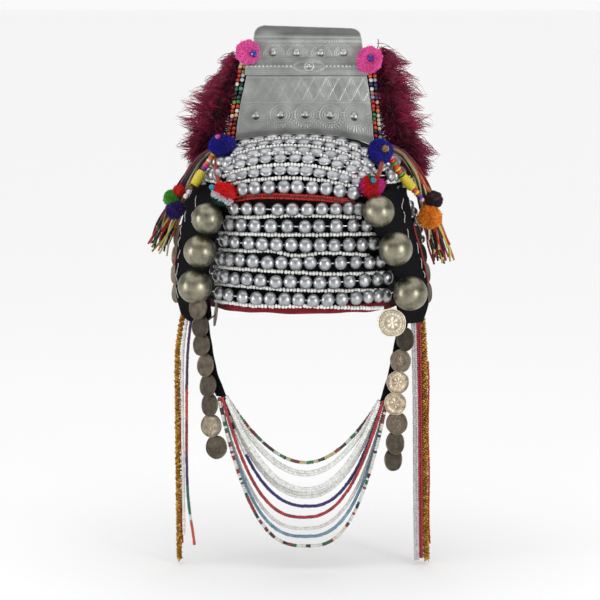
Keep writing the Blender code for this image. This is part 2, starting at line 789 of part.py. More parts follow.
def make_coin_run(name, side, coins):
    """Coins as (middle, turn) that lap like tiles, united along the thread that they hang on."""
    pieces = []
    for start, piece in ((0, name), (1, name + "_between")):
        bm = bmesh.new()
        for middle, degrees in coins[start::2]:
            coin_disc(bm, side, middle, degrees)
        pieces.append(mesh_object(piece, bm, "old_coin", 30))
    bm = bmesh.new()
    lathe_along(bm, [(middle, COIN_THREAD_RADIUS) for middle, _ in coins], 6)
    pieces.append(mesh_object(name + "_thread", bm, "black_cotton"))
    fuse(pieces[0], pieces[1:])


def make_strap_coins(side):
    """The coins lie in front of the strap's face, and go on below its end."""
    _, face = strap_axes(side)
    route = strap_route(side, 60)
    coins = [(HEM_COIN_MIDDLE, HEM_COIN_TURN)] if side == "left" else []
    for x, z, degrees, out in STRAP_COINS[side]:
        behind = min(route, key=lambda point: abs(point.z - z * MM))
        y = behind.y + (out * MM - face.x * (x * MM - behind.x)) / face.y
        coins.append((Vector((x * MM, y, z * MM)), degrees))
    make_coin_run(f"strap_coins_{side}", side, coins)


def make_flap_coins(side):
    """The coins hang behind the flap, their outer halves in sight."""
    coins = []
    for z in FLAP_COIN_HEIGHTS:
        run = flap_point(side, z * MM, 1) - flap_point(side, z * MM, 0)
        lean = math.radians(FLAP_COIN_TURN) - math.atan2(run.y, abs(run.x))
        behind = COIN_RADIUS * math.sin(lean) + (COIN_THICKNESS + FLAP_THICKNESS) / 2 + 2 * SEW_GAP
        coins.append((flap_point(side, z * MM, FLAP_COIN_SHARE, -behind), FLAP_COIN_TURN))
    make_coin_run(f"flap_coins_{side}", side, coins)


def make_brow_coin():
    bm = bmesh.new()
    coin_disc(bm, "right", BROW_COIN_MIDDLE, BROW_COIN_TURN, BROW_COIN_RADIUS)
    mesh_object("brow_coin", bm, "bright_coin", 30)


def chin_string_points(number):
    """A string that hangs between the straps, steep at its ends and round below."""
    _, _, low_x, low_z, fullness = CHIN_STRINGS[number]
    depth = CHIN_LAYER_DEPTHS[number % CHIN_LAYERS]
    place = number // CHIN_LAYERS
    fine = []
    steps = 60
    for k in range(-steps, steps + 1):
        end_x, end_z = CHIN_ENDS["left" if k < 0 else "right"][place]
        reach = abs(k / steps) ** 0.8
        x = low_x + (end_x - low_x) * reach
        z = low_z + (end_z - low_z) * reach**fullness
        fine.append(Vector((x, depth, z)) * MM)
    return evenly(fine, CHIN_STRING_POINTS)


def make_chin_strings():
    finishes = {
        "red_green": "mixed_seed",
        "dark_blue": "dark_blue_seed",
        "red": "red_seed",
        "light_blue": "light_blue_seed",
        "many_coloured": "mixed_seed",
    }
    for number, (name, strings, *_) in enumerate(CHIN_STRINGS):
        radius = DOUBLE_STRING_RADIUS if strings == 2 else SINGLE_STRING_RADIUS
        points = chin_string_points(number)
        tube_object(f"chin_string_{name}", points, radius, finishes.get(name, "white_seed"))


def make_side_strands():
    finishes = {
        "gold_left": "gold_thread",
        "coloured_left": "mixed_seed",
        "red_right": "red_seed",
        "gold_right": "gold_thread",
    }
    for name, radius, share, route in SIDE_STRANDS:
        behind = FLAP_THICKNESS / 2 + 2.5 * SEW_GAP + radius * MM
        top = flap_point(name.split("_")[1], SIDE_STRAND_TOP_Z, share, -behind)
        points = smooth_route([top] + [Vector(p) * MM for p in route], SIDE_STRAND_POINTS)
        tube_object(f"side_strand_{name}", points, radius * MM, finishes.get(name, "white_seed"))


def pull_lock(bm, face, reach, taper):
    """Draws one face out into a tapering lock."""
    lock = bmesh.ops.extrude_discrete_faces(bm, faces=[face])["faces"][0]
    middle = lock.calc_center_median()
    for vert in lock.verts:
        vert.co = middle + (vert.co - middle) * taper + reach


def backing_edge(side, z):
    """The outer edge of the plate's backing at a height, as a distance from the middle plane."""
    up = (z - PLATE_FOOT.z) / math.cos(PLATE_LEAN)
    rows = [(row[0] * MM, abs(row[1 if side == "left" else 2]) * MM) for row in PLATE_ROWS]
    for lower, upper in zip(rows, rows[1:]):
        if up <= upper[0]:
            break
    part = max(0.0, (up - lower[0]) / (upper[0] - lower[0]))
    return lower[1] + (upper[1] - lower[1]) * part + BACKING_MARGIN


def make_plume(side):
    """A plume of down along a quill, its locks pointing out and down."""
    outward = Vector((SIDES[side], 0, 0))
    rows = PLUME_ROWS[side]
    stations = []
    for z, thickness, out, _ in rows:
        reach = backing_edge(side, z * MM) + (thickness + out) * MM + 1.5 * SEW_GAP
        stations.append((outward * reach + Vector((0, PLUME_DEPTH, z * MM)), thickness * MM))
    bm = bmesh.new()
    rings, _ = lathe_along(bm, stations, PLUME_SIDES)
    found = []
    for i in range(len(rings) - 1):
        band = set(rings[i]) | set(rings[i + 1])
        middle = (stations[i][0] + stations[i + 1][0]) / 2
        for face in bm.faces:
            if len(face.verts) == 4 and set(face.verts) <= band:
                away = (face.calc_center_median() - middle).normalized()
                found.append((face, away, rows[i][3] * MM))
    for number, (face, away, length) in enumerate(found):
        facing = away.dot(outward)
        if facing < -0.3:
            continue
        swing = 0.8 + 0.2 * math.sin(2.4 * number)
        reach = (away * 0.55 + outward * 0.5 * max(facing, 0) + Vector((0, 0, -0.28))) * length * swing
        pull_lock(bm, face, reach, 0.3)
    mesh_object(f"feather_plume_{side}", bm, "crimson_feather")


def make_pompoms():
    finishes = {"pink": "pink_wool", "blue": "blue_wool"}
    for name, x, y, z, radius, flatness in POMPOMS:
        bm = bmesh.new()
        ball(bm, Vector((x, y, z)) * MM, radius * MM, 10, 6, flatness)
        mesh_object(name, bm, finishes[name.split("_")[0]], 80)


def make_hanging_pompoms():
    """Each is one body with the string of seeds that it hangs on."""
    for name, top, knee, middle, radius in HANGING_POMPOMS:
        bm = bmesh.new()
        ball(bm, Vector(middle) * MM, radius * MM, 10, 6)
        pompom = mesh_object(name, bm, "red_wool", 80)
        bm = bmesh.new()
        route = smooth_route([Vector(p) * MM for p in (top, knee, middle)], 7)
        lathe_along(bm, [(point, SEED_STRING_RADIUS) for point in route], ROUND_SIDES)
        fuse(pompom, [mesh_object(name + "_string", bm, "red_seed")])


def make_bead_drop(side):
    bm = bmesh.new()
    stations = [(Vector(row[:3]) * MM, row[3] * MM) for row in BEAD_DROPS[side]]
    lathe_along(bm, stations, ROUND_SIDES)
    mesh_object(f"bead_drop_{side}", bm, "yellow_bead")


def make_tassel(side):
    """A wool tassel: a bundle that ends in locks, with two small pompoms sewn to it."""
    form = TASSELS[side]
    bundle = [(Vector(row[:3]) * MM, row[3] * MM) for row in form["bundle"]]
    bm = bmesh.new()
    _, ends = lathe_along(bm, bundle, TASSEL_LOCKS)
    wedges = bmesh.ops.poke(bm, faces=[ends[1]])["faces"]
    foot = bundle[-1][0]
    drop = Vector(form["tips"]) * MM - foot
    for number, wedge in enumerate(wedges):
        away = (wedge.calc_center_median() - foot).normalized()
        swing = 0.86 + 0.14 * math.cos(1.9 * number)
        pull_lock(bm, wedge, drop * swing + away * form["spread"] * MM, 0.45)
    tassel = mesh_object(f"wool_tassel_{side}", bm, "mixed_wool")
    helpers = []
    for number, (x, y, z, radius) in enumerate(form["pompoms"]):
        bm = bmesh.new()
        ball(bm, Vector((x, y, z)) * MM, radius * MM, 10, 6)
        helpers.append(mesh_object(f"wool_tassel_{side}_pompom_{number}", bm, "mixed_wool", 80))
    fuse(tassel, helpers)


def make_side_bead_string():
    z, share = SIDE_BEAD_TOP
    top = flap_point("right", z * MM, share, -(FLAP_THICKNESS / 2 + SEW_GAP + SIDE_BEAD_RADIUS))
    route = smooth_route([top] + [Vector(p) * MM for p in SIDE_BEAD_ROUTE], SIDE_BEADS)
    bead_string("side_bead_string", route, SIDE_BEAD_RADIUS, "silver_bead")


def main():
    clear_scene()
    make_cap()
    make_hem()
    make_lower_rows()
    make_crown_rows()
    make_plate()
    make_band()
    make_backing()
    for side in SIDES:
        make_flap(side)
        make_strap(side)
        make_strap_coins(side)
        make_flap_coins(side)
        make_plume(side)
        make_bead_drop(side)
        make_tassel(side)
    make_brow_coin()
    make_balls()
    make_pompoms()
    make_hanging_pompoms()
    make_chin_strings()
    make_side_strands()
    make_side_bead_string()


main()
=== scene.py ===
"""The looks of the akha headdress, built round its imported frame.

Lengths are written in millimetres in the tables and turned to metres by MM. Every shape is made of
turned beads, threads, ribbons and sheets, each gathered in a Heap that becomes one piece.
"""

import math

import bpy
import numpy as np
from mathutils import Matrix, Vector


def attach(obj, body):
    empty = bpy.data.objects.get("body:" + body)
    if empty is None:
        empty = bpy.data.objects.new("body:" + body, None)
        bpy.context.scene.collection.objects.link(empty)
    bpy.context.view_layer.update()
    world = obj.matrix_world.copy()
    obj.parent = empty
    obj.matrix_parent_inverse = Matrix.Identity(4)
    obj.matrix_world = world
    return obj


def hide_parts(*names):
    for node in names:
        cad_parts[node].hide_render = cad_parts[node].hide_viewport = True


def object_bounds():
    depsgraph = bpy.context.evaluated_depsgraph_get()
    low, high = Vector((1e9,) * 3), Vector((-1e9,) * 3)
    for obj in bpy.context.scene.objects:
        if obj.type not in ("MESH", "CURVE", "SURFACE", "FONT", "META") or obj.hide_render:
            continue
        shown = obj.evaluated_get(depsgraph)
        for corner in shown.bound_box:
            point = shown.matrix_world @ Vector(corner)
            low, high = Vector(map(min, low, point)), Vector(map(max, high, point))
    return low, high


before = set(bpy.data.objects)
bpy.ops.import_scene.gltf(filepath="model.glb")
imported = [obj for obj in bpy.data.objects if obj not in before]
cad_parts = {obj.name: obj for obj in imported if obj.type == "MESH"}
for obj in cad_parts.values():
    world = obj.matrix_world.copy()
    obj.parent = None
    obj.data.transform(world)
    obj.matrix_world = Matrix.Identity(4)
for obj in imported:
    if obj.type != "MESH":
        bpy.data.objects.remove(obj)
CAD_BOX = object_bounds()

MM = 0.001
SEW_GAP = 0.3
SIDES = {"left": -1, "right": 1}

# The cap
CAP_HALF_WIDTH = 98
CAP_HALF_DEPTH = 100
CAP_SQUARENESS = 2.4
CAP_RIM_Z = -10
CAP_SHOULDER_Z = 85
CROWN_RISE = 72
CROWN_SQUARENESS = 3.2
CAP_WALL = 2.5

# Rows of silver beads below the red line: their heights
LOWER_ROWS = (90.5, 74, 56.5, 38, 19.5, 1.5)
# Rows over the crown: degrees above level, x of the first and the last bead
CROWN_ROWS = (
    (15.2, -64, 52),
    (24.5, -75, 56),
    (32.1, -78, 62),
    (38.6, -78, 66),
    (47.9, -70, 68),
    (60.5, -63, 66),
)
# To the right of this x the rows sink, by this share of their angle over this width
CROWN_ROW_BEND = -25
CROWN_ROW_SINK = 0.25
CROWN_ROW_SINK_WIDTH = 85

# The plate: height along the sheet, its left and right edge, setback
PLATE_FOOT = (0.5, 1.5, 157.8)
PLATE_LEAN = math.radians(4)
PLATE_ROWS = (
    (0, -71, 72, 0),
    (16, -69, 70.5, 0),
    (38, -65, 68, 0),
    (60, -60, 64.5, 0),
    (82, -55.5, 61, 0),
    (100, -52, 58.5, 0),
    (106, -51, 57.5, 3),
    (111, -48, 54.5, 7),
)
BAND_ROWS = ((63.5, -61, 66, -1.6), (73, -60, 65, -2.4), (82, -58, 63, -1.6))
UPPER_BOSSES = ((-32, 86.8), (-8, 86.5), (17, 86.5), (41, 86.5))
LOWER_BOSSES = ((-50, 22), (-24.5, 21.5), (1, 21.5), (26.5, 21.5), (52, 22))
BOSS_RADIUS = 4
BOSS_RISE = 2.6

# The flaps: height, then each edge's distance out and depth
FLAP_ROWS = {
    "left": (
        (111, 90.2, -50, 112, -36),
        (92, 82, -76, 120, -44),
        (60, 89, -74, 128, -42),
        (25, 96, -70, 132, -40),
        (-5, 95, -68, 131, -40),
        (-22, 94, -64, 126, -42),
        (-29, 101, -58, 118, -46),
    ),
    "right": (
        (108, 83.3, -64, 104, -42),
        (90, 62, -95, 108, -46),
        (66, 72, -93, 112, -46),
        (40, 83, -83.5, 120, -44),
        (15, 93, -74, 126, -42),
        (-12, 94, -70, 128, -42),
        (-30, 98, -62, 122, -46),
    ),
}
FLAP_THICKNESS = 3
BALLS = (
    ("upper", "left", -97, 80, 16),
    ("middle", "left", -104.5, 47, 16.8),
    ("lower", "left", -110, 11, 17.4),
    ("upper", "right", 74.2, 89, 16),
    ("middle", "right", 91.5, 51, 17.3),
    ("lower", "right", 107, 4.5, 17.6),
)

# The straps below the flaps, and how far their faces look outwards
STRAP_ROUTES = {
    "left": ((-106, -56, 4), (-104, -53.4, -20), (-102.7, -52.6, -30), (-98, -57, -60),
             (-93, -61, -82), (-84, -66, -104)),
    "right": ((104, -58, 4), (102, -56.8, -20), (101, -55.5, -30), (96, -58, -60),
              (91, -61, -82), (83, -66, -108)),
}
STRAP_TURN = math.radians(38)
STRAP_HALF_WIDTH = 7
# The coins on them: x, z, degrees turned out, distance in front
STRAP_COINS = {
    "left": ((-105.5, -31.5, 45, 10.2), (-104.5, -51, 46, 7.5), (-100.5, -72, 47, 6.2), (-98, -93, 47, 6.2),
             (-96.5, -113, 47, 6.4), (-95, -134.5, 30, 5.6), (-89.5, -156, 26, 5.4)),
    "right": ((103.5, -46, 42, 5.2), (98.5, -67.5, 30, 6.6), (95.5, -89, 20, 8.6), (93, -110.5, 20, 8.8),
              (95, -131.5, 26, 7.6), (93.5, -152, 38, 6.4), (91.5, -169, 42, 5.6)),
}
# The coins behind the flaps: heights, degrees turned out, and their place as a share across the flap
FLAP_COIN_HEIGHTS = (57, 38, 19, 0)
FLAP_COIN_TURN = 60
FLAP_COIN_SHARE = 1.1
COIN_RADIUS = 12
COIN_THICKNESS = 1.8
COIN_LAP_TILT = math.radians(8)
# Single coins: middle and degrees turned out
HEM_COIN = ((-89.5, -73, -18.5), 84)
BROW_COIN = ((89, -73, -27), 4)
BROW_COIN_RADIUS = 14.5
# The coin on the left flap's foot: height, share across the flap, distance off it, degrees turned out
FOOT_COIN = (-13, 0.3, 4.8, 41)

# Strings below the chin: how many side by side, lowest x and z, fullness
CHIN_STRINGS = {
    "red_green": (1, 2, -173, 1.95),
    "white_upper": (2, 2, -184, 2.0),
    "white_middle": (2, 3, -200, 2.15),
    "white_third": (2, 2, -207.5, 2.2),
    "dark_blue": (1, 5, -218, 2.4),
    "red": (1, -1, -229, 2.5),
    "white_lower": (1, 0, -242, 2.6),
    "light_blue": (1, 2, -249.5, 2.7),
    "many_coloured": (1, 3, -259, 2.8),
}
CHIN_LAYER_DEPTHS = (-61.8, -66, -70.2)
CHIN_ENDS = {
    "left": ((-78.6, -105.5), (-83, -104.8), (-86.5, -106.5)),
    "right": ((76.2, -110.5), (80.5, -108.8), (84, -111)),
}

# Strands behind the flaps: radius, place across the flap, route
SIDE_STRANDS = {
    "gold_left": (
        2.8, 0.95, ((-130, -35, -60), (-130.6, -36, -120), (-130.2, -38, -200), (-129.5, -40, -278)),
    ),
    "white_left": (
        1.5, 0.8, ((-124.5, -38, -60), (-125.5, -39, -120), (-124.8, -41, -200), (-124.4, -43, -252)),
    ),
    "coloured_left": (
        1.8, 0.67, ((-119.5, -39, -60), (-121, -41, -120), (-120.5, -43, -205), (-113.5, -46, -262)),
    ),
    "grey_right": (2.8, 0.64, ((113.5, -41, -60), (115, -42, -120), (116, -44, -215), (117, -46, -278))),
    "red_right": (1.6, 0.79, ((118.5, -39, -60), (119.6, -40, -120), (120.6, -42, -215), (121, -44, -276))),
    "gold_right": (2.8, 0.92, ((124, -36, -60), (125, -37, -120), (126, -39, -215), (127.5, -41, -278))),
}

# Plumes: height, thickness, how far the quill hangs out from the backing's edge, length of the locks
PLUME_ROWS = {
    "left": ((236, 3, 1, 10), (226, 7, 0, 16), (210, 9, 0, 18), (193, 11, 0, 22),
             (175, 12, 0, 24), (158, 12, 5, 24), (142, 9, 12, 20), (131, 4, 20, 10)),
    "right": ((238, 3, 3, 24), (228, 8, 0, 28), (211, 10, 0, 24), (193, 12, 0, 24),
              (175, 12, 0, 24), (157, 12, 8, 24), (139, 10, 18, 20), (122, 4, 30, 10)),
}

# Where the camera stands: level with the brow's front, a little above, and far off
CAMERA_RISE = math.radians(7)
CAMERA_DISTANCE = 2400
CAMERA_AIM = np.array((-4.0, -104.0, 0.0))
CAMERA_BACK = np.array((0.0, -math.cos(CAMERA_RISE), math.sin(CAMERA_RISE)))
EYE = CAMERA_AIM + CAMERA_DISTANCE * CAMERA_BACK
PICTURE_PIXELS = 600
FOCAL_PIXELS = 2400
SENSOR_WIDTH = 36
# Lines of sight meet the cap between these distances from the camera
SIGHT_REACH = (2250, 2560)
SIGHT_STEPS = 1600


def paint(code):
    """A colour written as sRGB hex, turned linear."""
    parts = [int(code[i : i + 2], 16) / 255 for i in (1, 3, 5)]
    return tuple(p / 12.92 if p <= 0.04045 else ((p + 0.055) / 1.055) ** 2.4 for p in parts)


def unit(vectors):
    """Vectors brought to length 1."""
    vectors = np.asarray(vectors, float)
    return vectors / np.maximum(np.linalg.norm(vectors, axis=-1, keepdims=True), 1e-12)


def stacked(*columns):
    """Points from their coordinates, each an array or one value for all."""
    return np.stack(np.broadcast_arrays(*columns), axis=-1)


def full_turn(count):
    """This many angles, evenly round."""
    return 2 * np.pi * np.arange(count) / count


def read_table(rows, places):
    """A table's later columns, each read at these places of its first column."""
    steps, *columns = np.array(rows, float).T
    return [np.interp(places, steps, column) for column in columns]


# Gathering shapes into pieces


class Heap:
    """Points and faces of one piece, with a tint and a place on the cloth for each point."""

    def __init__(self):
        self.points = []
        self.faces = []
        self.tints = []
        self.lays = []
        self.count = 0

    def add(self, shape, tint=1, lay=None):
        """Adds a shape, which is its points in millimetres and its faces."""
        points, faces = shape
        points = np.asarray(points, float).reshape(-1, 3)
        self.faces.extend((np.asarray(faces) + self.count).tolist())
        self.points.append(points)
        tint = np.atleast_1d(tint)
        self.tints.append(np.broadcast_to(tint.reshape(-1, tint.shape[-1]), points.shape))
        self.lays.append(points if lay is None else lay.reshape(-1, 3))
        self.count += len(points)

    def piece(self, name, material, replaces=(), smooth=True):
        mesh = bpy.data.meshes.new(name)
        points = np.concatenate(self.points) * MM
        mesh.from_pydata(points, [], self.faces)
        tints = np.ones((self.count, 4))
        tints[:, :3] = np.concatenate(self.tints)
        colours = mesh.color_attributes.new("tint", "FLOAT_COLOR", "POINT")
        colours.data.foreach_set("color", tints.ravel().astype(np.float32))
        lays = mesh.attributes.new("lay", "FLOAT_VECTOR", "POINT")
        lays.data.foreach_set("vector", np.concatenate(self.lays).ravel().astype(np.float32))
        mesh.polygons.foreach_set("use_smooth", np.full(len(mesh.polygons), smooth))
        mesh.materials.append(material)
        mesh.update()
        obj = bpy.data.objects.new(name, mesh)
        bpy.context.scene.collection.objects.link(obj)
        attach(obj, "root")
        if replaces:
            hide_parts(*replaces)
        return obj


def across_of(along, lines=None):
    """Two directions square to each line, the first kept steady along it."""
    along = unit(along)
    mean = along if lines is None else unit(lines[:, -1] - lines[:, 0])[:, None, :]
    steady = np.eye(3)[np.argmin(np.abs(mean), axis=-1)]
    side = unit(np.cross(along, steady))
    return side, np.cross(along, side)


def ring_faces(index):
    """Quads between the rings of (forms, rings, sides) of point numbers."""
    low = index[:, :-1]
    high = index[:, 1:]
    return stacked(low, np.roll(low, -1, axis=2), np.roll(high, -1, axis=2), high).reshape(-1, 4)


def rings_round(side, over, sides):
    """Directions all round each line, through two that are square to it."""
    turns = full_turn(sides)[:, None]
    return np.cos(turns) * side[..., None, :] + np.sin(turns) * over[..., None, :]


def turned(centres, alongs, profile, sides, sizes):
    """Copies of one turned form: profile holds (place along its axis, radius), sizes scales both."""
    centres = np.asarray(centres, float).reshape(-1, 3)
    along = unit(alongs).reshape(-1, 3)
    profile = np.asarray(profile, float)
    sizes = np.broadcast_to(sizes, (len(centres), 2))
    long, wide = (sizes[:, i, None, None, None] * profile[:, i, None, None] for i in (0, 1))
    ring = rings_round(*across_of(along), sides)
    points = centres[:, None, None] + long * along[:, None, None] + wide * ring[:, None]
    index = np.arange(points.size // 3).reshape(len(centres), len(profile), sides)
    return points.reshape(-1, 3), ring_faces(index)


def threads(lines, radii, sides):
    """Round threads along one line of points or several, with one radius or one for each point."""
    lines = np.reshape(lines, (-1, *np.shape(lines)[-2:]))
    radii = np.broadcast_to(radii, lines.shape[:2])
    ring = rings_round(*across_of(np.gradient(lines, axis=1), lines), sides)
    points = lines[:, :, None] + radii[:, :, None, None] * ring
    index = np.arange(points.size // 3).reshape(*lines.shape[:2], sides)
    return points.reshape(-1, 3), ring_faces(index)


def ribbons(lines, widths, face):
    """Flat ribbons along lines (forms, points, 3), their flat side turned to face."""
    along = unit(np.gradient(lines, axis=1))
    side = unit(np.cross(along, face)) * np.asarray(widths)[..., None] / 2
    points = np.stack((lines - side, lines + side), axis=2)
    index = np.arange(points.size // 3).reshape(*lines.shape[:2], 2)
    low = index[:, :-1]
    high = index[:, 1:]
    faces = stacked(low[..., 0], low[..., 1], high[..., 1], high[..., 0])
    return points.reshape(-1, 3), faces.reshape(-1, 4)


def grid(points, close=False):
    """A sheet through a grid of points (rows, columns, 3), its last column joined to its first if closed."""
    rows, columns = points.shape[:2]
    index = np.arange(rows * columns).reshape(rows, columns)
    if close:
        index = np.concatenate((index, index[:, :1]), axis=1)
    faces = stacked(index[:-1, :-1], index[:-1, 1:], index[1:, 1:], index[1:, :-1])
    return points.reshape(-1, 3), faces.reshape(-1, 4)


def add_rings(heap, rings, lays):
    """A skin through rings of points, the last joined to the first, with their places on the cloth."""
    heap.add(grid(np.array(rings + rings[:1]), close=True), lay=np.array(lays + lays[:1]))


def border_of(points):
    """The points round a grid's edge, in order."""
    return np.concatenate((points[:, 0], points[-1, 1:], points[-2::-1, -1], points[0, -2::-1]))


def add_pad(heap, front, rear, lay):
    """Two faces of cloth joined round their edge."""
    heap.add(grid(front), lay=lay)
    heap.add(grid(rear[:, ::-1]), lay=lay)
    heap.add(grid(np.array((border_of(rear), border_of(front)))))


def rounded(edge, reach):
    """The share of its thickness that a pad has at this distance from its edge."""
    return np.clip(1 - (1 - np.clip(edge / reach, 0, 1)) ** 2, 0.02, 1) ** 0.5


def smooth_route(points, count):
    """This many evenly spaced points of a smooth curve through the route's points."""
    points = np.asarray(points, float)
    padded = np.concatenate((2 * points[:1] - points[1:2], points, 2 * points[-1:] - points[-2:-1]))
    t = np.linspace(0, 1, 24, endpoint=False)[:, None]
    fine = []
    for a, b, c, d in zip(padded, padded[1:], padded[2:], padded[3:]):
        fine.append(
            0.5 * (2 * b + (c - a) * t + (2 * a - 5 * b + 4 * c - d) * t**2 + (3 * b - a - 3 * c + d) * t**3)
        )
    return evenly(np.concatenate(fine + [points[-1:]]), count)


def evenly(points, count):
    """This many points at equal steps along a fine line."""
    steps = np.cumsum(np.linalg.norm(np.diff(points, axis=0, prepend=points[:1]), axis=1))
    return stacked(*read_table(np.column_stack((steps, points)), np.linspace(0, steps[-1], count)))


def length_of(points):
    return np.linalg.norm(np.diff(points, axis=0), axis=1).sum()


def ridge(distance, width):
    """A rounded ridge where the distance is small."""
    return np.exp(-((distance / width) ** 2))


# The cap's surface


def plan_measure(x, y, clear=0.0):
    """0 in the middle of the cap's plan and 1 on its outline."""
    across = np.abs(x) / (CAP_HALF_WIDTH + clear)
    along = np.abs(y) / (CAP_HALF_DEPTH + clear)
    return (across**CAP_SQUARENESS + along**CAP_SQUARENESS) ** (1 / CAP_SQUARENESS)


def crown_fraction(z, clear=0.0):
    """How much of the full plan is left at this height."""
    part = np.clip((z - CAP_SHOULDER_Z) / (CROWN_RISE + clear), 0, 1)
    return (1 - part**CROWN_SQUARENESS) ** (1 / CROWN_SQUARENESS)


def outside_cap(points, clear):
    """Below 0 inside the cap's cloth grown by clear, above 0 outside it."""
    x, y, z = np.moveaxis(points, -1, 0)
    part = np.clip((z - CAP_SHOULDER_Z) / (CROWN_RISE + clear), 0, None)
    return plan_measure(x, y, clear) ** CROWN_SQUARENESS + part**CROWN_SQUARENESS - 1


def sight_line(places, clear):
    """A line on the cap, seen as a smooth line through these places in the picture."""
    across, down = np.hsplit((smooth_route(places, 90) - PICTURE_PIXELS / 2) / FOCAL_PIXELS, 2)
    up = np.array((0.0, math.sin(CAMERA_RISE), math.cos(CAMERA_RISE)))
    rays = -CAMERA_BACK + across * (1.0, 0.0, 0.0) - down * up
    reach = np.linspace(*SIGHT_REACH, SIGHT_STEPS)
    inside = outside_cap(EYE + rays[:, None] * reach[:, None], clear) < 0
    first = np.where(inside.any(axis=1), inside.argmax(axis=1), len(reach) // 2)
    return EYE + rays * reach[first][:, None]


def outline_reach(place, half, other_half, z, clear):
    """How far out the cap's cloth lies at this height, at a place across it."""
    left = crown_fraction(z, clear) ** CAP_SQUARENESS - (np.abs(place) / (half + clear)) ** CAP_SQUARENESS
    return (other_half + clear) * np.clip(left, 0, None) ** (1 / CAP_SQUARENESS)


def front_row(x, z, clear):
    """Points of the cap's front at these x and one height."""
    return stacked(x, -outline_reach(x, CAP_HALF_WIDTH, CAP_HALF_DEPTH, z, clear), z)


def side_row(side, y, z, clear):
    """Points of the cap's side at these y and one height."""
    return stacked(SIDES[side] * outline_reach(y, CAP_HALF_DEPTH, CAP_HALF_WIDTH, z, clear), y, z)


FAR_OUTSIDE = 200.0  # this far from its middle, the crown is surely left
HALVINGS = 40  # of that distance, to find the crown's surface


def crown_row(x, degrees, clear):
    """Points of the crown on a plane that fans out from the line between the ears, its right side sunk."""
    sink = (np.clip(x - CROWN_ROW_BEND, 0, None) / CROWN_ROW_SINK_WIDTH) ** 2
    angle = math.radians(degrees) * (1 - CROWN_ROW_SINK * sink)
    near = np.zeros_like(x)
    far = np.full_like(x, FAR_OUTSIDE)
    for _ in range(HALVINGS):
        reach = (near + far) / 2
        points = stacked(x, -reach * np.cos(angle), CAP_SHOULDER_Z + reach * np.sin(angle))
        out = outside_cap(points, clear) > 0
        far = np.where(out, reach, far)
        near = np.where(out, near, reach)
    return points


def flap_point(side, z, share, out=0.0):
    """A point on a flap's middle: share 0 at its inner edge, 1 at its outer; out is off its face."""
    inner_x, inner_y, outer_x, outer_y = read_table(FLAP_ROWS[side][::-1], z)
    sign = SIDES[side]
    run = unit(stacked((outer_x - inner_x) * sign, outer_y - inner_y))
    x = sign * (inner_x + (outer_x - inner_x) * share) + run[..., 1] * sign * out
    y = inner_y + (outer_y - inner_y) * share - run[..., 0] * sign * out
    return stacked(x, y, z)


FOOT_FADE = 36  # below this height on the plate its sheet follows the crown's arc
FOOT_RISE = 2.5  # how far its middle is raised over the beads
FOOT_DROPS = (6.5, 10.5)  # how much lower the foot's left and right ends are than its middle
PLATE_HALF_WIDTH = 72


def plate_place(x, up, back):
    """A point of the leaning plate. Near its foot the sheet follows the crown's arc."""
    fade = np.clip(1 - up / FOOT_FADE, 0, None)
    left_drop, right_drop = FOOT_DROPS
    arc = np.where(x > 0, right_drop, left_drop) * (x / PLATE_HALF_WIDTH) ** 2
    up = up + fade * (FOOT_RISE - arc)
    foot_x, foot_y, foot_z = PLATE_FOOT
    return stacked(foot_x + x, foot_y + math.sin(PLATE_LEAN) * up + back, foot_z + math.cos(PLATE_LEAN) * up)


# Materials


def node(tree, kind, settings=None, links=None):
    """Adds a shader node with its settings, each input a value or another node's output."""
    made = tree.nodes.new("ShaderNode" + kind)
    for name, value in (settings or {}).items():
        setattr(made, name, value)
    for name, value in (links or {}).items():
        if isinstance(value, bpy.types.NodeSocket):
            tree.links.new(value, made.inputs[name])
        else:
            made.inputs[name].default_value = value
    return made


def begin(name, **sockets):
    """A new material, its tree, its shader with these sockets set, and where its points lie on the cloth."""
    material = bpy.data.materials.new(name)
    material.use_nodes = True
    tree = material.node_tree
    shader = tree.nodes["Principled BSDF"]
    for socket, value in sockets.items():
        shader.inputs[socket.replace("_", " ")].default_value = value
    lay = node(tree, "Attribute", {"attribute_name": "lay"}).outputs["Vector"]
    return material, tree, shader, lay


def patchy(tree, shader, lay, size_mm, colours, shine, detail=3.0):
    """Patches about this many millimetres across, between two colours and two roughnesses.

    The colours are multiplied by the tint that each point of a piece carries.
    """
    cloud = node(tree, "TexNoise", None, {"Vector": lay, "Scale": 1 / size_mm, "Detail": detail})
    share = node(tree, "MapRange", None, {"Value": cloud.outputs["Fac"], "From Min": 0.3, "From Max": 0.7})
    share = share.outputs["Result"]
    low, high = ((*paint(code), 1) for code in colours)
    mixed = node(tree, "Mix", {"data_type": "RGBA"}, {0: share, 6: low, 7: high}).outputs[2]
    tint = node(tree, "Attribute", {"attribute_name": "tint"}).outputs["Color"]
    tinted = node(tree, "Mix", {"data_type": "RGBA", "blend_type": "MULTIPLY"}, {0: 1.0, 6: mixed, 7: tint})
    tree.links.new(tinted.outputs[2], shader.inputs["Base Color"])
    rough = node(tree, "MapRange", None, {"Value": share, "To Min": shine[0], "To Max": shine[1]})
    tree.links.new(rough.outputs["Result"], shader.inputs["Roughness"])
    return share


def uneven(tree, shader, *layers):
    """Surface relief in layers: a pattern's height, its depth in millimetres and its strength."""
    under = {}
    for height, depth_mm, strength in layers:
        links = {"Height": height, "Distance": depth_mm * MM, "Strength": strength, **under}
        under = {"Normal": node(tree, "Bump", None, links).outputs["Normal"]}
    tree.links.new(under["Normal"], shader.inputs["Normal"])


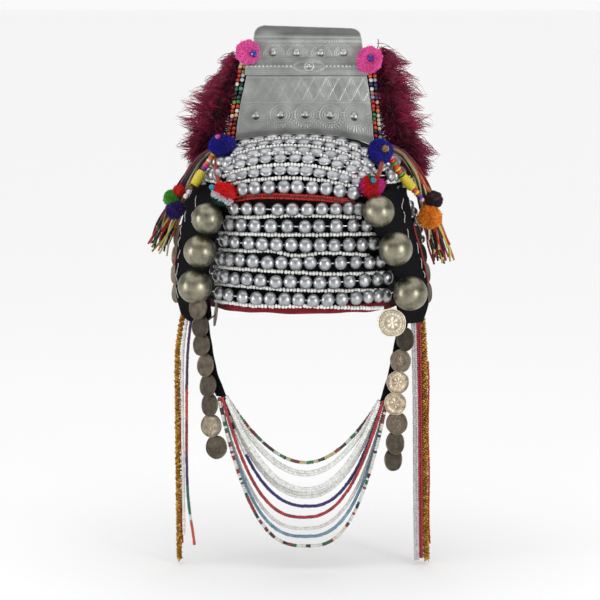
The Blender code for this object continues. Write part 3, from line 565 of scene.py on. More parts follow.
def woven_cotton(name, colours, thread_mm, sheen):
    """Plain-woven cotton: matt, rows of crossing threads, a trace of fuzz where it turns away.

    Real threads of 0.4 mm are too fine to show, so they are drawn about twice as coarse.
    """
    material, tree, shader, lay = begin(
        name, Sheen_Weight=sheen, Sheen_Roughness=0.5, Specular_IOR_Level=0.12
    )
    patchy(tree, shader, lay, 9.0, colours, (0.72, 0.95))
    scale = 2 * math.pi / 20 / (2 * thread_mm)  # a Wave texture of scale 1 repeats in 20 / (2 pi)
    warp, weft = (
        node(
            tree, "TexWave", {"bands_direction": direction},
            {"Vector": lay, "Scale": scale, "Distortion": 0.6, "Detail Scale": 0.4},
        ).outputs["Fac"]
        for direction in ("X", "Y")
    )
    crossed = node(tree, "Math", {"operation": "SUBTRACT"}, {0: warp, 1: weft})
    creases = node(tree, "TexNoise", None, {"Vector": lay, "Scale": 1 / 7.0, "Detail": 2.0})
    uneven(tree, shader, (creases.outputs["Fac"], 0.8, 0.5), (crossed.outputs[0], 0.3, 0.7))
    return material


def raised_silver(name):
    """Thin silver raised over a form: a soft satin shine, with duller and darker patches."""
    material, tree, shader, lay = begin(name, Metallic=1.0)
    patchy(tree, shader, lay, 4.0, ("#94969a", "#c0c2c4"), (0.44, 0.28))
    hammer = node(tree, "TexNoise", None, {"Vector": lay, "Scale": 1 / 1.8, "Detail": 2.0})
    uneven(tree, shader, (hammer.outputs["Fac"], 0.12, 0.5))
    return material


def chased_aluminium(name):
    """Rolled aluminium sheet chased from behind: grey, fine rolling lines, a dull shine on its ridges."""
    material, tree, shader, lay = begin(name, Metallic=1.0)
    patchy(tree, shader, lay, 14.0, ("#a2a4a2", "#bcbebb"), (0.38, 0.5))
    # Rolling lines a millimetre apart, which is coarser than real ones, so that they show
    stretched = node(tree, "Mapping", None, {"Vector": lay, "Scale": (0.9, 0.06, 0.9)}).outputs[0]
    rolled = node(tree, "TexNoise", None, {"Vector": stretched, "Scale": 1.0, "Detail": 4.0})
    dimples = node(tree, "TexNoise", None, {"Vector": lay, "Scale": 1 / 1.3, "Detail": 2.0})
    uneven(tree, shader, (rolled.outputs["Fac"], 0.05, 0.4), (dimples.outputs["Fac"], 0.1, 0.3))
    return material


def spun_nickel_silver(name):
    """Nickel silver spun into hollow balls: a warm grey, its reflections softened by fine scratches."""
    material, tree, shader, lay = begin(name, Metallic=1.0)
    patchy(tree, shader, lay, 8.0, ("#6b685a", "#9c9884"), (0.3, 0.4), 6.0)
    # Scratches a third of a millimetre wide and 7 mm long, coarser than real ones, so that they show
    turn = (0.4, 0.7, 0.3)
    stretch = (3.0, 0.14, 0.14)
    stretched = node(tree, "Mapping", None, {"Vector": lay, "Rotation": turn, "Scale": stretch}).outputs[0]
    scratches = node(tree, "TexNoise", None, {"Vector": stretched, "Scale": 1.0, "Detail": 3.0})
    pits = node(tree, "TexNoise", None, {"Vector": lay, "Scale": 1 / 2.2, "Detail": 2.0})
    uneven(tree, shader, (scratches.outputs["Fac"], 0.06, 0.45), (pits.outputs["Fac"], 0.1, 0.35))
    return material


def struck_silver(name, colours, shine, wear):
    """Old struck silver: tarnished brown in its hollows and rubbed brighter on the relief."""
    material, tree, shader, lay = begin(name, Metallic=0.8)
    patchy(tree, shader, lay, 6.0, colours, shine, 2.5)
    pits = node(tree, "TexNoise", None, {"Vector": lay, "Scale": 1 / 1.4, "Detail": 3.0})
    uneven(tree, shader, (pits.outputs["Fac"], 0.12, wear))
    return material


def drawn_glass(name):
    """Opaque coloured glass cut from drawn cane: a small clear highlight on each bead."""
    material, tree, shader, lay = begin(name, IOR=1.5, Coat_Weight=0.25, Coat_Roughness=0.12)
    patchy(tree, shader, lay, 1.5, ("#d8d8d8", "#ffffff"), (0.3, 0.42), 2.0)
    return material


def cut_wool(name):
    """Dyed wool with its cut ends outward: matt and deep between the ends."""
    material, tree, shader, lay = begin(name, Sheen_Weight=0.12, Sheen_Roughness=0.4, Specular_IOR_Level=0.2)
    patchy(tree, shader, lay, 3.0, ("#e4e4e4", "#ffffff"), (0.97, 0.85))
    return material


def spun_yarn(name):
    """Mercerised cotton yarn: twisted plies with a silky shine."""
    material, tree, shader, lay = begin(name, Sheen_Weight=0.1, Sheen_Roughness=0.3)
    twist = patchy(tree, shader, lay, 0.9, ("#dadada", "#ffffff"), (0.75, 0.5), 1.0)
    uneven(tree, shader, (twist, 0.25, 0.6))
    return material


def dyed_down(name):
    """Down dyed crimson: fine barbs, matt below, with a faint silk on the longer ones."""
    material, tree, shader, lay = begin(name, Sheen_Weight=0.08, Sheen_Roughness=0.3, Specular_IOR_Level=0.25)
    patchy(tree, shader, lay, 7.0, ("#bcbcbc", "#ffffff"), (0.75, 0.55))
    return material


def gilt_bead(name):
    """Gilt glass and metal-wrapped thread: warm specks of light on brown."""
    material, tree, shader, lay = begin(name, Metallic=0.6)
    patchy(tree, shader, lay, 1.2, ("#b0a898", "#ffffff"), (0.5, 0.28), 2.0)
    return material


def cut_crystal(name):
    """Coloured cut glass: flat facets that each catch the light."""
    material, tree, shader, lay = begin(name, IOR=1.55, Coat_Weight=0.3, Coat_Roughness=0.05)
    patchy(tree, shader, lay, 2.0, ("#d8d8d8", "#ffffff"), (0.08, 0.15), 1.0)
    return material


INDIGO = woven_cotton("indigo_woven_cotton", ("#050507", "#0c0c11"), 0.9, 0.015)
HEM_RED = woven_cotton("red_woven_cotton", ("#640c17", "#861826"), 0.7, 0.1)
SILVER = raised_silver("raised_silver")
ALUMINIUM = chased_aluminium("chased_aluminium")
NICKEL = spun_nickel_silver("spun_nickel_silver")
OLD_COIN = struck_silver("tarnished_struck_silver", ("#60574b", "#857b6c"), (0.48, 0.34), 0.2)
BRIGHT_COIN = struck_silver("rubbed_struck_silver", ("#b4ab98", "#ddd4c2"), (0.5, 0.34), 0.2)
GLASS = drawn_glass("drawn_glass")
WOOL = cut_wool("cut_wool")
YARN = spun_yarn("mercerised_yarn")
DOWN = dyed_down("dyed_down")
GILT = gilt_bead("gilt_glass")
CRYSTAL = cut_crystal("cut_crystal")


# Forms of beads, as (place along the thread, radius)

SEED = ((-0.5, 0.3), (-0.38, 0.78), (0.0, 1.0), (0.38, 0.78), (0.5, 0.3))


def two_domes(hole, seam, waist, back_step=1):
    """A bead's form: two domes that meet at a seam, the hidden one in coarser steps if asked."""
    turns = np.linspace(0.06, 1, 8)[:-1] * np.pi / 2
    back = [(-math.cos(t), math.sin(t)) for t in turns[::back_step]]
    front = [(math.cos(t), math.sin(t)) for t in turns[::-1]]
    return [(-1.0, hole), *back, (-seam, 1.0), (0.0, waist), (seam, 1.0), *front, (1.0, hole)]


SILVER_BEAD = two_domes(0.17, 0.03, 0.98)
PRESSED_BEAD = two_domes(0.005, 0.09, 0.965, 3)


def string_seeds(heap, rng, points, width, pitch, tints, waver=0.12, sides=7, snug=1.0):
    """A row of seeds of glass threaded along a line; snug is how far they press into each other."""
    count = max(2, round(length_of(points) / pitch))
    placed = evenly(points, count)
    alongs = unit(np.gradient(placed, axis=0)) + rng.normal(0, 0.07, placed.shape)
    placed = placed + rng.normal(0, waver, placed.shape)
    long = pitch * snug * rng.uniform(0.9, 1.04, count)
    wide = width / 2 * rng.uniform(0.92, 1.06, count)
    tints = np.asarray(tints, float)
    if tints.ndim == 1:
        tints = np.broadcast_to(tints, (count, 3))
    tints = tints[np.minimum(np.arange(count), len(tints) - 1)] * rng.uniform(0.85, 1.08, (count, 1))
    tints = np.repeat(tints, len(SEED) * sides, axis=0)
    heap.add(turned(placed, alongs, SEED, sides, stacked(long, wide)), tints)


def runs(rng, count, palette, longest):
    """Tints for a string whose colours change in short runs."""
    tints = []
    while len(tints) < count:
        tints += [paint(palette[rng.integers(len(palette))])] * int(rng.integers(1, longest + 1))
    return np.array(tints[:count])


WHITE = paint("#f4f3f0")


# The cap, its hem and the silver beads


def plan_ring(turns, fraction, clear, z):
    """A ring of the cap's rounded-square plan, turn 0 at +X."""
    power = 2 / CAP_SQUARENESS
    x = np.copysign(np.abs(np.cos(turns)) ** power, np.cos(turns))
    y = np.copysign(np.abs(np.sin(turns)) ** power, np.sin(turns))
    return stacked(x * (CAP_HALF_WIDTH + clear) * fraction, y * (CAP_HALF_DEPTH + clear) * fraction, z)


CROWN_SEAM_Z = 84  # where the cap's band is sewn to its crown
BACK_SEAM_TURN = np.pi / 2
CLOTH_ROUND = 100  # millimetres of cloth for each radian round the cap
CLOTH_OVER = 90  # and from its shoulder to its top
TOP_RINGS = (0.1, 0.05, 0.02, 0.002)  # what is left of the plan at the crown's last rings


def make_cap():
    """The cotton cap, open below: a band and a crown, sewn together and closed by a seam at the back."""
    turns = full_turn(240)
    band = np.concatenate((np.linspace(CAP_RIM_Z, 78, 24), np.linspace(80, CAP_SHOULDER_Z + 2, 9)))
    crown = np.sin(np.linspace(0.06, np.pi / 2, 30)[:-1])
    top = (1 - np.array(TOP_RINGS) ** CROWN_SQUARENESS) ** (1 / CROWN_SQUARENESS)
    heights = np.concatenate((band, CAP_SHOULDER_Z + CROWN_RISE * np.concatenate((crown, top))))
    rings = []
    lays = []
    for clear, order in ((0.0, heights), (-CAP_WALL, np.append(heights[:0:-3], heights[0]))):
        for z in order:
            fraction = crown_fraction(z)
            from_seam = z - CROWN_SEAM_Z
            soft = 0.3 * np.sin(23 * turns + 0.11 * z) * np.sin(0.19 * z + 2 * np.sin(5 * turns))
            back_seam = -0.9 * ridge(turns - BACK_SEAM_TURN, 0.02) * fraction
            gathers = 0.25 * ridge(from_seam, 7) * np.sin(95 * turns) - 0.5 * ridge(from_seam, 1.6)
            uneven_face = soft + back_seam + gathers if clear == 0 else 0
            drop = CAP_WALL * (z > CAP_SHOULDER_Z) * (clear < 0)
            rings.append(plan_ring(turns, fraction, clear + uneven_face - 0.1, z - drop))
            lays.append(stacked(turns * CLOTH_ROUND, z + (1 - fraction) * CLOTH_OVER, 0))
    heap = Heap()
    add_rings(heap, rings, lays)
    heap.piece("cap_cloth", INDIGO, ["cap_shell"])


def make_hem():
    """The red roll round the rim, pulled in a little at each stitch."""
    turns = full_turn(360)
    rings = []
    lays = []
    for t in full_turn(14):
        bulge = 1 + 0.12 * np.sin(31 * turns) * np.sin(7 * turns + 1)
        z = -9.6 + 4.6 * math.sin(t) + 0.4 * np.sin(9 * turns) + 0.3 * np.sin(17 * turns + 2)
        rings.append(plan_ring(turns, 1.0, 0.4 + 1.3 * (1 + np.cos(t) * bulge), z))
        lays.append(stacked(turns * CLOTH_ROUND, t * 3, 0))
    heap = Heap()
    add_rings(heap, rings, lays)
    heap.piece("hem_roll", HEM_RED, ["hem_trim"])


def cap_facing(points, clear):
    """The direction that the cap's cloth faces at these points."""
    steps = 0.5 * np.eye(3)
    slopes = (outside_cap(points + step, clear) - outside_cap(points - step, clear) for step in steps)
    return unit(stacked(*slopes))


SILVER_WIDTH = 7.0  # half a bead's width
ROUND_BEAD = 5.5  # half a bead's thickness, which is also how far its middle lies off the cloth
FLAT_BEAD = 3.4
FLAT_BEAD_LEAN = 0.75  # how far the flat ones look up
SILVER_SIDES = 22


def bead_centres(rng, fine, pitch, waver):
    """Middles of beads along a fine line, all but the first and the last a little out of place."""
    centres = evenly(fine, round(length_of(fine) / pitch) + 1)
    centres[1:-1] += rng.normal(0, 0.5, (len(centres) - 2, 3)) * waver
    return centres


def add_silver_beads(heap, rng, centres, ends, thick):
    """Silver beads on a white thread, each pressed from two domes that meet at a seam."""
    lean = FLAT_BEAD_LEAN * (thick == FLAT_BEAD)
    facing = cap_facing(centres, thick) + rng.normal(0, 0.08, centres.shape) + (0, 0, lean)
    sizes = np.array((thick, SILVER_WIDTH)) * rng.uniform(0.96, 1.03, (len(centres), 1))
    tints = rng.uniform(0.86, 1.06, (len(centres), 1)).repeat(len(PRESSED_BEAD) * SILVER_SIDES, axis=0)
    heap.add(turned(centres, facing, PRESSED_BEAD, SILVER_SIDES, sizes), tints)
    line = np.concatenate((ends[:1], centres, ends[1:]))
    heap.add(threads(smooth_route(line, 60), 0.7, 6), (1.5, 1.5, 1.48))


# Each bead's place across the lower rows, from the topmost row down
BEAD_PLACES = (
    (-70, -57, -44, -26, -11.5, 3.3, 17.6, 31.7, 44.6, 55),
    (-75, -63, -49, -33, -16.6, 1, 15, 32, 49, 62.5),
    (-80, -69.5, -55.3, -41.7, -27.4, -12.6, 1.7, 16.1, 30.4, 44.7, 58, 69.5),
    (-84, -75, -64.3, -51, -36.3, -22.6, -8.2, 6.2, 20.7, 36.5, 51.6, 65.5, 76.5),
    (-87, -79.9, -69.2, -57, -43.5, -28, -13.6, 1.7, 15.8, 30.4, 45.2, 60.7, 73.4, 84),
    (-85.4, -75.8, -61.4, -47.4, -33.8, -19.3, -5.4, 9.2, 23.7, 37.9, 52, 64.3, 74.5, 83),
)
# How much each of these rows rises from left to right, and in its middle
ROW_SLOPES = ((1.5, 0.6), (0, 0), (-1.2, -1.6), (-1.8, -0.8), (-1.4, -1.4), (-0.8, -1.2))
CROWN_BEAD_PITCH = 13.6
# Rows on the crown's sides: height, and where on each side they begin
SIDE_WALL_ROWS = ((135, -66), (122, -62), (108, -20))
SIDE_WALL_END = 14
SIDE_WALL_PITCH = 13.2


def make_silver_rows():
    rng = np.random.default_rng(11)
    for number, (z, places, (slope, middle)) in enumerate(zip(LOWER_ROWS, BEAD_PLACES, ROW_SLOPES), 1):
        x = np.array(places, float)
        centres = front_row(x, z, ROUND_BEAD + SEW_GAP)
        centres[:, 2] += slope * x / 160 + middle * (1 - (x / 85) ** 2) + rng.normal(0, 0.4, len(x))
        ends = front_row(x[[0, -1]] + (-8.0, 8.0), z, 1.0)
        heap = Heap()
        add_silver_beads(heap, rng, centres, ends, ROUND_BEAD)
        heap.piece(f"silver_beads_{number}", SILVER, [f"silver_row_{number}"])
    for number, (degrees, first, last) in enumerate(CROWN_ROWS, 1):
        thick = ROUND_BEAD if number == 1 else FLAT_BEAD
        fine = crown_row(np.linspace(first + 3.0, last - 3.0, 200), degrees, thick + 1.0)
        centres = bead_centres(rng, fine, CROWN_BEAD_PITCH, (1, 0.3, 0.3))
        ends = crown_row(np.array((first - 6.0, last + 6.0)), degrees, 1.0)
        heap = Heap()
        add_silver_beads(heap, rng, centres, ends, thick)
        heap.piece(f"crown_beads_{number}", SILVER, [f"crown_row_{number}"])
    heap = Heap()
    for side in SIDES:
        for z, start in SIDE_WALL_ROWS:
            fine = side_row(side, np.linspace(start, SIDE_WALL_END, 60), z, ROUND_BEAD + SEW_GAP)
            centres = bead_centres(rng, fine, SIDE_WALL_PITCH, (0.3, 1, 1))
            ends = side_row(side, np.array((start - 6.0, SIDE_WALL_END + 6.0)), z, 1.0)
            add_silver_beads(heap, rng, centres, ends, ROUND_BEAD)
    heap.piece("side_wall_beads", SILVER)


# Rows of seeds sewn to the cap, as places in the picture
WHITE_ROWS = (
    ((227, 217.3), (252, 217.3), (295, 215.5), (360, 217)),
    ((220, 233), (246, 234), (295, 235), (378.5, 233.6)),
    ((221, 249.4), (246, 251), (271, 251), (297, 256), (325, 253), (368, 255)),
    ((215, 266.4), (246, 269.4), (295, 272.4), (341, 274.2), (392, 272.4)),
    ((216, 283.3), (252, 287), (295, 290), (343, 290.6), (386, 290.4)),
    ((216, 301), (258.5, 305.8), (307, 306.4), (368, 308.2), (382, 307.6)),
)
RED_ROW = ((225.5, 201.5), (248.5, 196.7), (272.7, 195.8), (309, 197.5), (343, 200.3), (354, 201))
CROWN_SEED_DEGREES = (20.1, 27.8, 36.1, 42.7, 53.7)
WHITE_SEED_WIDTH = 4.7
WHITE_SEED_PITCH = 3.4


def make_sewn_seeds():
    """White seeds between the silver rows, couched down so that they waver, and the double red line."""
    rng = np.random.default_rng(12)
    heap = Heap()
    lines = [sight_line(places, 3.2) for places in WHITE_ROWS[:-1]] + [sight_line(WHITE_ROWS[-1], 5.2)]
    for degrees, (_, first, last) in zip(CROWN_SEED_DEGREES, CROWN_ROWS[1:]):
        lines.append(crown_row(np.linspace(first - 2, last + 4, 160), degrees, 4.5))
    for side in SIDES:
        for z, start in SIDE_WALL_ROWS:
            lines.append(side_row(side, np.linspace(start - 4, SIDE_WALL_END + 4, 60), z - 6.7, 4.2))
    for line in lines:
        string_seeds(heap, rng, line, WHITE_SEED_WIDTH, WHITE_SEED_PITCH, WHITE, 0.2)
    heap.piece("sewn_white_seeds", GLASS)
    heap = Heap()
    middle = sight_line(RED_ROW, 2.0)
    for shift in (-1.9, 1.9):
        string_seeds(heap, rng, middle + (0, 0, shift), 3.5, 1.6, paint("#c42a20"))
    heap.add(threads(middle + (0, 0.8, 0), 1.3, 6), paint("#5a0c10"))
    heap.piece("sewn_red_seeds", GLASS)


# The plate

# The chased lattice: the heights between which it lies, and how far apart its lines are
LATTICE_FOOT = 36
LATTICE_TOP = 61
LATTICE_PITCH = 12.8
SHEET_COLUMNS = 217  # points across a sheet, close enough for its finest lines
TOP_CORNER = 5  # the radius of the plate's top corners


def plate_relief(x, up):
    """The height of the chased pattern in millimetres, fainter to the left, where it is rubbed."""
    kept = 0.4 + 0.6 * np.clip((x + 45) / 75, 0, 1)
    relief = np.zeros_like(x)
    for middle_x, middle_up in LOWER_BOSSES:
        away = np.hypot(x - middle_x, up - middle_up)
        turn = np.arctan2(up - middle_up, x - middle_x)
        depth = 0.34 if abs(middle_x) < 40 else 0.14
        for radius, dots in ((6.0, 0), (8.4, 30), (11.2, 44)):
            beading = 0.6 + 0.4 * np.cos(dots * turn) if dots else 0.7
            relief += depth * ridge(away - radius, 0.5) * beading
        relief += 0.2 * np.clip(np.cos(26 * turn), 0, None) * ridge(away - 13.4, 1.4) * (up < middle_up + 4)
    for middle_x, middle_up in UPPER_BOSSES:
        away = np.hypot(x - middle_x, up - middle_up + 3)
        for radius in (6.6, 8.6, 10.6):
            beading = 0.7 + 0.3 * np.cos(2.6 * radius * np.arctan2(up - middle_up + 3, x - middle_x))
            relief += 0.26 * ridge(away - radius, 0.45) * (up > middle_up - 3) * beading
    saw = np.abs(((x / 6.1) % 1) - 0.5) * 2
    relief += 0.16 * ridge(up - 94.0 - 1.6 * saw, 0.5)
    for low, high, pitch, height in ((96.4, 100, 1.7, 0.22), (6.5, 12.8, 2.3, 0.14)):
        flutes = height * np.clip(np.sin(2 * np.pi * x / pitch), 0, None)
        relief += np.where((up > low) & (up < high), flutes, 0)
    for level, height in ((13.6, 0.14), (35.5, 0.22), (61.5, 0.25), (101.4, 0.22)):
        relief += height * ridge(up - level, 0.45)
    in_lattice = (up > LATTICE_FOOT + 0.5) & (up < LATTICE_TOP - 0.5)
    beading = 0.75 + 0.25 * np.cos(2 * np.pi * up / 1.5)
    for slope in (1, -1):
        for shift, height in ((0.25, 0.3), (0.38, 0.2)):
            line = ((x + slope * (up - LATTICE_FOOT) * 0.53) / LATTICE_PITCH + shift) % 1
            cut = ridge(np.minimum(line, 1 - line) * LATTICE_PITCH, 0.45) * beading
            relief += np.where(in_lattice, height * kept * cut, 0)
    relief += np.where(in_lattice, 0.05 * np.cos(2 * np.pi * (x + up * 0.3) / 2.1), 0)
    relief *= 1.5 * (0.65 + 0.35 * kept)
    for middle_x, middle_up in UPPER_BOSSES + LOWER_BOSSES:
        away = np.hypot(x - middle_x, up - middle_up)
        relief = np.maximum(relief, np.clip(1 - (away / BOSS_RADIUS) ** 2, 0, None) ** 0.6 * BOSS_RISE)
    return relief


def plate_shade(x, up, relief):
    """Brighter on the rubbed ridges, darker on the foot; painted shade to the left, round each boss and on
    the fold.
    """
    shade = 0.8 + 0.42 * np.clip(relief / 0.5, 0, 1)
    # painted shade: darker to the left
    shade *= 0.92 + 0.1 * np.clip((x + 60) / 120, 0, 1)
    shade *= 1 - 0.24 * (up < 5.5)
    # painted shade on the folded top, which faces up and back, spared in a painted highlight near its left
    # end
    shade *= 1 - 0.62 * np.clip((up - 100.5) / 4, 0, 1) * (1 - 0.75 * ridge(x + 38, 12) * ridge(up - 104, 3))
    # painted shade in a ring round each boss's foot, set off to the left
    boss_shade = 1.0
    for middle_x, middle_up in UPPER_BOSSES + LOWER_BOSSES:
        away = np.hypot(x - middle_x + 1.5, up - middle_up)
        boss_shade = boss_shade - 0.18 * ridge(away - 3.5, 2.5)
    return shade * boss_shade


def band_relief(x, up):
    """The band's dotted lines and its rosette in an eye-shaped frame."""
    relief = np.zeros_like(x)
    eye_x, eye_up = 4.6, 72.5
    away = np.hypot(x - eye_x, up - eye_up)
    eye = np.abs(x - eye_x) / 16
    for pitch, level, size, height in ((2.2, 79.0, 0.5, 0.22), (4.1, 72.5, 0.9, 0.5), (2.2, 66.0, 0.5, 0.22)):
        spot = np.hypot(((x / pitch) % 1 - 0.5) * pitch, up - level)
        relief += np.where((eye > 1.05) | (np.abs(up - eye_up) > 6), height * ridge(spot, size), 0)
    for level in (64.4, 67.7, 77.3, 80.8):
        relief += 0.12 * ridge(up - level, 0.35)
    for half in (4.6, 6.4):
        lid = half * np.sqrt(np.clip(1 - eye**2, 0, None))
        for sign in (1, -1):
            outline = 0.26 * ridge(up - eye_up - sign * lid, 0.45) * (0.7 + 0.3 * np.cos(3 * x))
            relief += np.where((away > 5.4) & (eye < 1), outline, 0)
    relief += 0.4 * ridge(away - 4.4, 0.55)
    return np.maximum(relief, 1.2 * np.clip(1 - (away / 2.3) ** 2, 0, None) ** 0.5)


def band_shade(x, up, relief):
    """Darker than the plate, with its dots rubbed bright."""
    return 0.68 + 0.5 * np.clip(relief / 0.35, 0, 1)


def plate_sheet(heap, rows, steps, relief_of, shade_of, thickness, top_tilt=0.0):
    """A sheet with its relief on the front, a plain back and a rolled edge."""
    foot, top = rows[0][0], rows[-1][0]
    up = np.linspace(foot, top, steps)[:, None]
    left, right, back = read_table(rows, up)
    corner = np.clip((up - top) / TOP_CORNER + 1, 0, 1) * (top_tilt > 0)
    inset = TOP_CORNER * (1 - np.sqrt(1 - corner**2))
    left, right = left + inset, right - inset
    share = np.linspace(0, 1, SHEET_COLUMNS)
    x = left + (right - left) * share
    lift = top_tilt * np.clip((up - 96) / 15, 0, 1) * (1 - share)
    relief = relief_of(x, up)
    sink = back + 0.35 * np.sin(0.09 * x + 1.3) * np.sin(0.07 * up) + 0.2 * np.sin(0.21 * x + 0.13 * up)
    tint = shade_of(x, up, relief).reshape(-1, 1)
    heap.add(grid(plate_place(x, up + lift, sink - relief)), tint, stacked(x, up, 0))
    rear = plate_place(x, up + lift, sink + thickness)
    heap.add(grid(np.concatenate((rear[::6], rear[-1:]))[:, ::-6]), 0.85)
    border = border_of(plate_place(x, up + lift, sink + thickness / 2))
    heap.add(threads(smooth_route(border[::4], 400), thickness * 0.62, 8), 0.9)


def make_plate():
    heap = Heap()
    plate_sheet(heap, PLATE_ROWS, 175, plate_relief, plate_shade, 1.0, 3.0)
    heap.piece("chased_plate", ALUMINIUM, ["headdress_plate"])
    heap = Heap()
    plate_sheet(heap, BAND_ROWS, 43, band_relief, band_shade, 0.8)
    heap.piece("chased_band", ALUMINIUM, ["plate_band"])


# The backing: height along it, its left and right edge
BACKING_ROWS = ((0, -81, 82), (36, -75, 78), (70, -68, 73), (88, -54, 59.5))
BACKING_FRONT = 1.5
BACKING_SHEET = 4


def make_backing():
    """The cloth-covered board behind the plate, its corners rounded."""
    top = BACKING_ROWS[-1][0]
    up = np.linspace(0, top, 46)[:, None]
    left, right = read_table(BACKING_ROWS, up)
    share = np.linspace(0, 1, 60)
    x = left + (right - left) * share
    edge = np.minimum(np.minimum(share, 1 - share) * 150, np.minimum(top - up, up) + 0.5)
    half = BACKING_SHEET / 2 * rounded(edge, 2.5)
    layers = []
    for sign in (-1, 1):
        points = plate_place(x, up, BACKING_FRONT + BACKING_SHEET / 2 + sign * half)
        measure = np.clip(plan_measure(points[..., 0], 5.0), 0, 1)
        low = CAP_SHOULDER_Z + CROWN_RISE * (1 - measure**CROWN_SQUARENESS) ** (1 / CROWN_SQUARENESS) + 0.7
        points[..., 2] = np.maximum(points[..., 2], low)
        points[0, :, 2] = low[0]
        layers.append(points)
    heap = Heap()
    add_pad(heap, *layers, stacked(x, up, 0))
    heap.piece("backing_cloth", INDIGO, ["plate_backing"])


# The edge strips' seeds, from the top down: the column by the plumes, then the one by the plate
EDGE_SEEDS = {
    "left": (
        "c8b98a c3331f b8301c c3331f e9e7dd 1f6b4a 141414 141414 8a8f3a d9502a b3221c e9c9a8 5a1f4a "
        "c3331f 7a3a1c d2441e b3221c",
        "8f7d3e 7a6a2e b9c2cc b9c2cc 141414 5d9a86 2a2a2a 1c4a36 3f8a4a c3331f e9e7dd d8a878 8a1f1c "
        "2a1414 c3331f c3331f 8a1420",
    ),
    "right": (
        "c24a5a d9502a b9c2dd 24305c 24305c 7a1420 3a2a4a e0a08a b3221c e08a4a e9dfc8 e6d8c4 e9dfc8 "
        "e2d4c0 5a2a5a 9ab89a e0b8b0 b3221c",
        "b3221c d9502a e9e7dd 24305c e9e7dd b87a6a 8a9ab8 b3221c c3331f a01c18 2f8a4a 4a6a3a d9442a "
        "d9502a 2a0a0c 9a1c18 3a1418 5d9a86",
    ),
}
# Where these columns begin and end on the backing: x and height
EDGE_ENDS = {"left": ((-64, 72), (-76.5, 3)), "right": ((70, 67), (77, 0))}
EDGE_COLUMN = 2.15  # half the distance between the two columns


def make_edge_seeds():
    """Two columns of large seeds down each side of the backing."""
    rng = np.random.default_rng(13)
    heap = Heap()
    for side, columns in EDGE_SEEDS.items():
        (top_x, top_up), (low_x, low_up) = EDGE_ENDS[side]
        for column, codes in zip((EDGE_COLUMN, -EDGE_COLUMN), columns):
            tints = np.array([paint("#" + code) for code in codes.split()])
            up = np.linspace(top_up, low_up, 40)
            x = np.linspace(top_x, low_x, 40) + SIDES[side] * column
            line = plate_place(x, up, -0.9)
            string_seeds(heap, rng, line, 4.2, length_of(line) / len(tints), tints, 0.2, 9)
    heap.piece("edge_seeds", GLASS)


# Flaps, balls, straps and coins


def make_flap(side):
    """The padded cotton flap, quilted with a loose running stitch."""
    top, foot = FLAP_ROWS[side][0][0], FLAP_ROWS[side][-1][0]
    z = np.linspace(top, foot, 96)[:, None]
    share = np.linspace(0, 1, 34)
    edge = np.minimum(np.minimum(share, 1 - share) * 40, np.minimum(top - z, z - foot) + 0.2)
    half = FLAP_THICKNESS / 2 * rounded(edge, 2.2)
    fold = 0.25 * np.sin(0.23 * z) * np.sin(9 * share + 0.05 * z)
    layers = [flap_point(side, z, share, sign * half + fold) for sign in (1, -1)]
    heap = Heap()
    add_pad(heap, *(layers if side == "left" else layers[::-1]), stacked(share * 42, z, 0))
    flap = heap.piece(f"flap_pad_{side}", INDIGO, [f"side_flap_{side}"])


# Lines along the flaps: share across the flap, from height, to height
STITCH_LINES = {
    "left": ((0.72, 100, 78), (0.9, 84, 28), (0.93, 20, -4)),
    "right": ((0.78, 98, 62), (0.9, 52, 20)),
}
PIPING = {"left": (0.985, 40, 28), "right": (0.985, 72, 10)}


def make_flap_trim():
    """White running stitches and the red piping on the flaps' outer edges."""
    rng = np.random.default_rng(14)
    heap = Heap()
    for side, lines in STITCH_LINES.items():
        for share, top, bottom in lines:
            z = top
            while z > bottom:
                long = rng.uniform(6, 12)
                steps = np.linspace(z, z - long, 7)
                rise = FLAP_THICKNESS / 2 + 0.5 + 0.6 * np.sin(np.linspace(0, np.pi, 7))
                wander = share + 0.02 * np.sin(steps * 0.4) + rng.normal(0, 0.01)
                heap.add(threads(flap_point(side, steps, wander, rise), 0.38, 5), paint("#d8d8d6"))
                z -= long + rng.uniform(2, 6)
    heap.piece("running_stitches", YARN)
    heap = Heap()
    for side, (share, top, bottom) in PIPING.items():
        z = np.linspace(top, bottom, 50)
        heap.add(threads(flap_point(side, z, share, 1.6 + 0.3 * np.sin(z * 0.3)), 0.9, 7), paint("#8c1420"))
    heap.piece("red_piping", YARN)


def make_balls():
    steps = np.linspace(0.03, np.pi - 0.03, 44)
    seam = 1 - 0.012 * np.exp(-(((steps - np.pi / 2) / 0.035) ** 2))
    profile = stacked(-np.cos(steps) * seam, np.sin(steps) * seam)
    for name, side, x, z, radius in BALLS:
        inner = flap_point(side, z, 0)
        outer = flap_point(side, z, 1)
        out = FLAP_THICKNESS / 2 + SEW_GAP + 0.975 * radius
        lift = flap_point(side, z, 0, out) - inner
        share = (x - lift[0] - inner[0]) / (outer[0] - inner[0])
        middle = inner + (outer - inner) * share + lift
        heap = Heap()
        heap.add(turned(middle, unit(lift) + (0, 0, 0.25), profile, 60, radius * 0.995))
        heap.piece(f"spun_ball_{name}_{side}", NICKEL, [f"silver_ball_{name}_{side}"])


def strap_axes(side):
    """The strap's direction across, outwards, and the direction its face looks in."""
    sign = SIDES[side]
    across = np.array((sign * math.cos(STRAP_TURN), math.sin(STRAP_TURN), 0))
    face = np.array((sign * math.sin(STRAP_TURN), -math.cos(STRAP_TURN), 0))
    return across, face


STRAP_STEPS = 70  # points along the strap
STRAP_SIDES = 20  # and round it


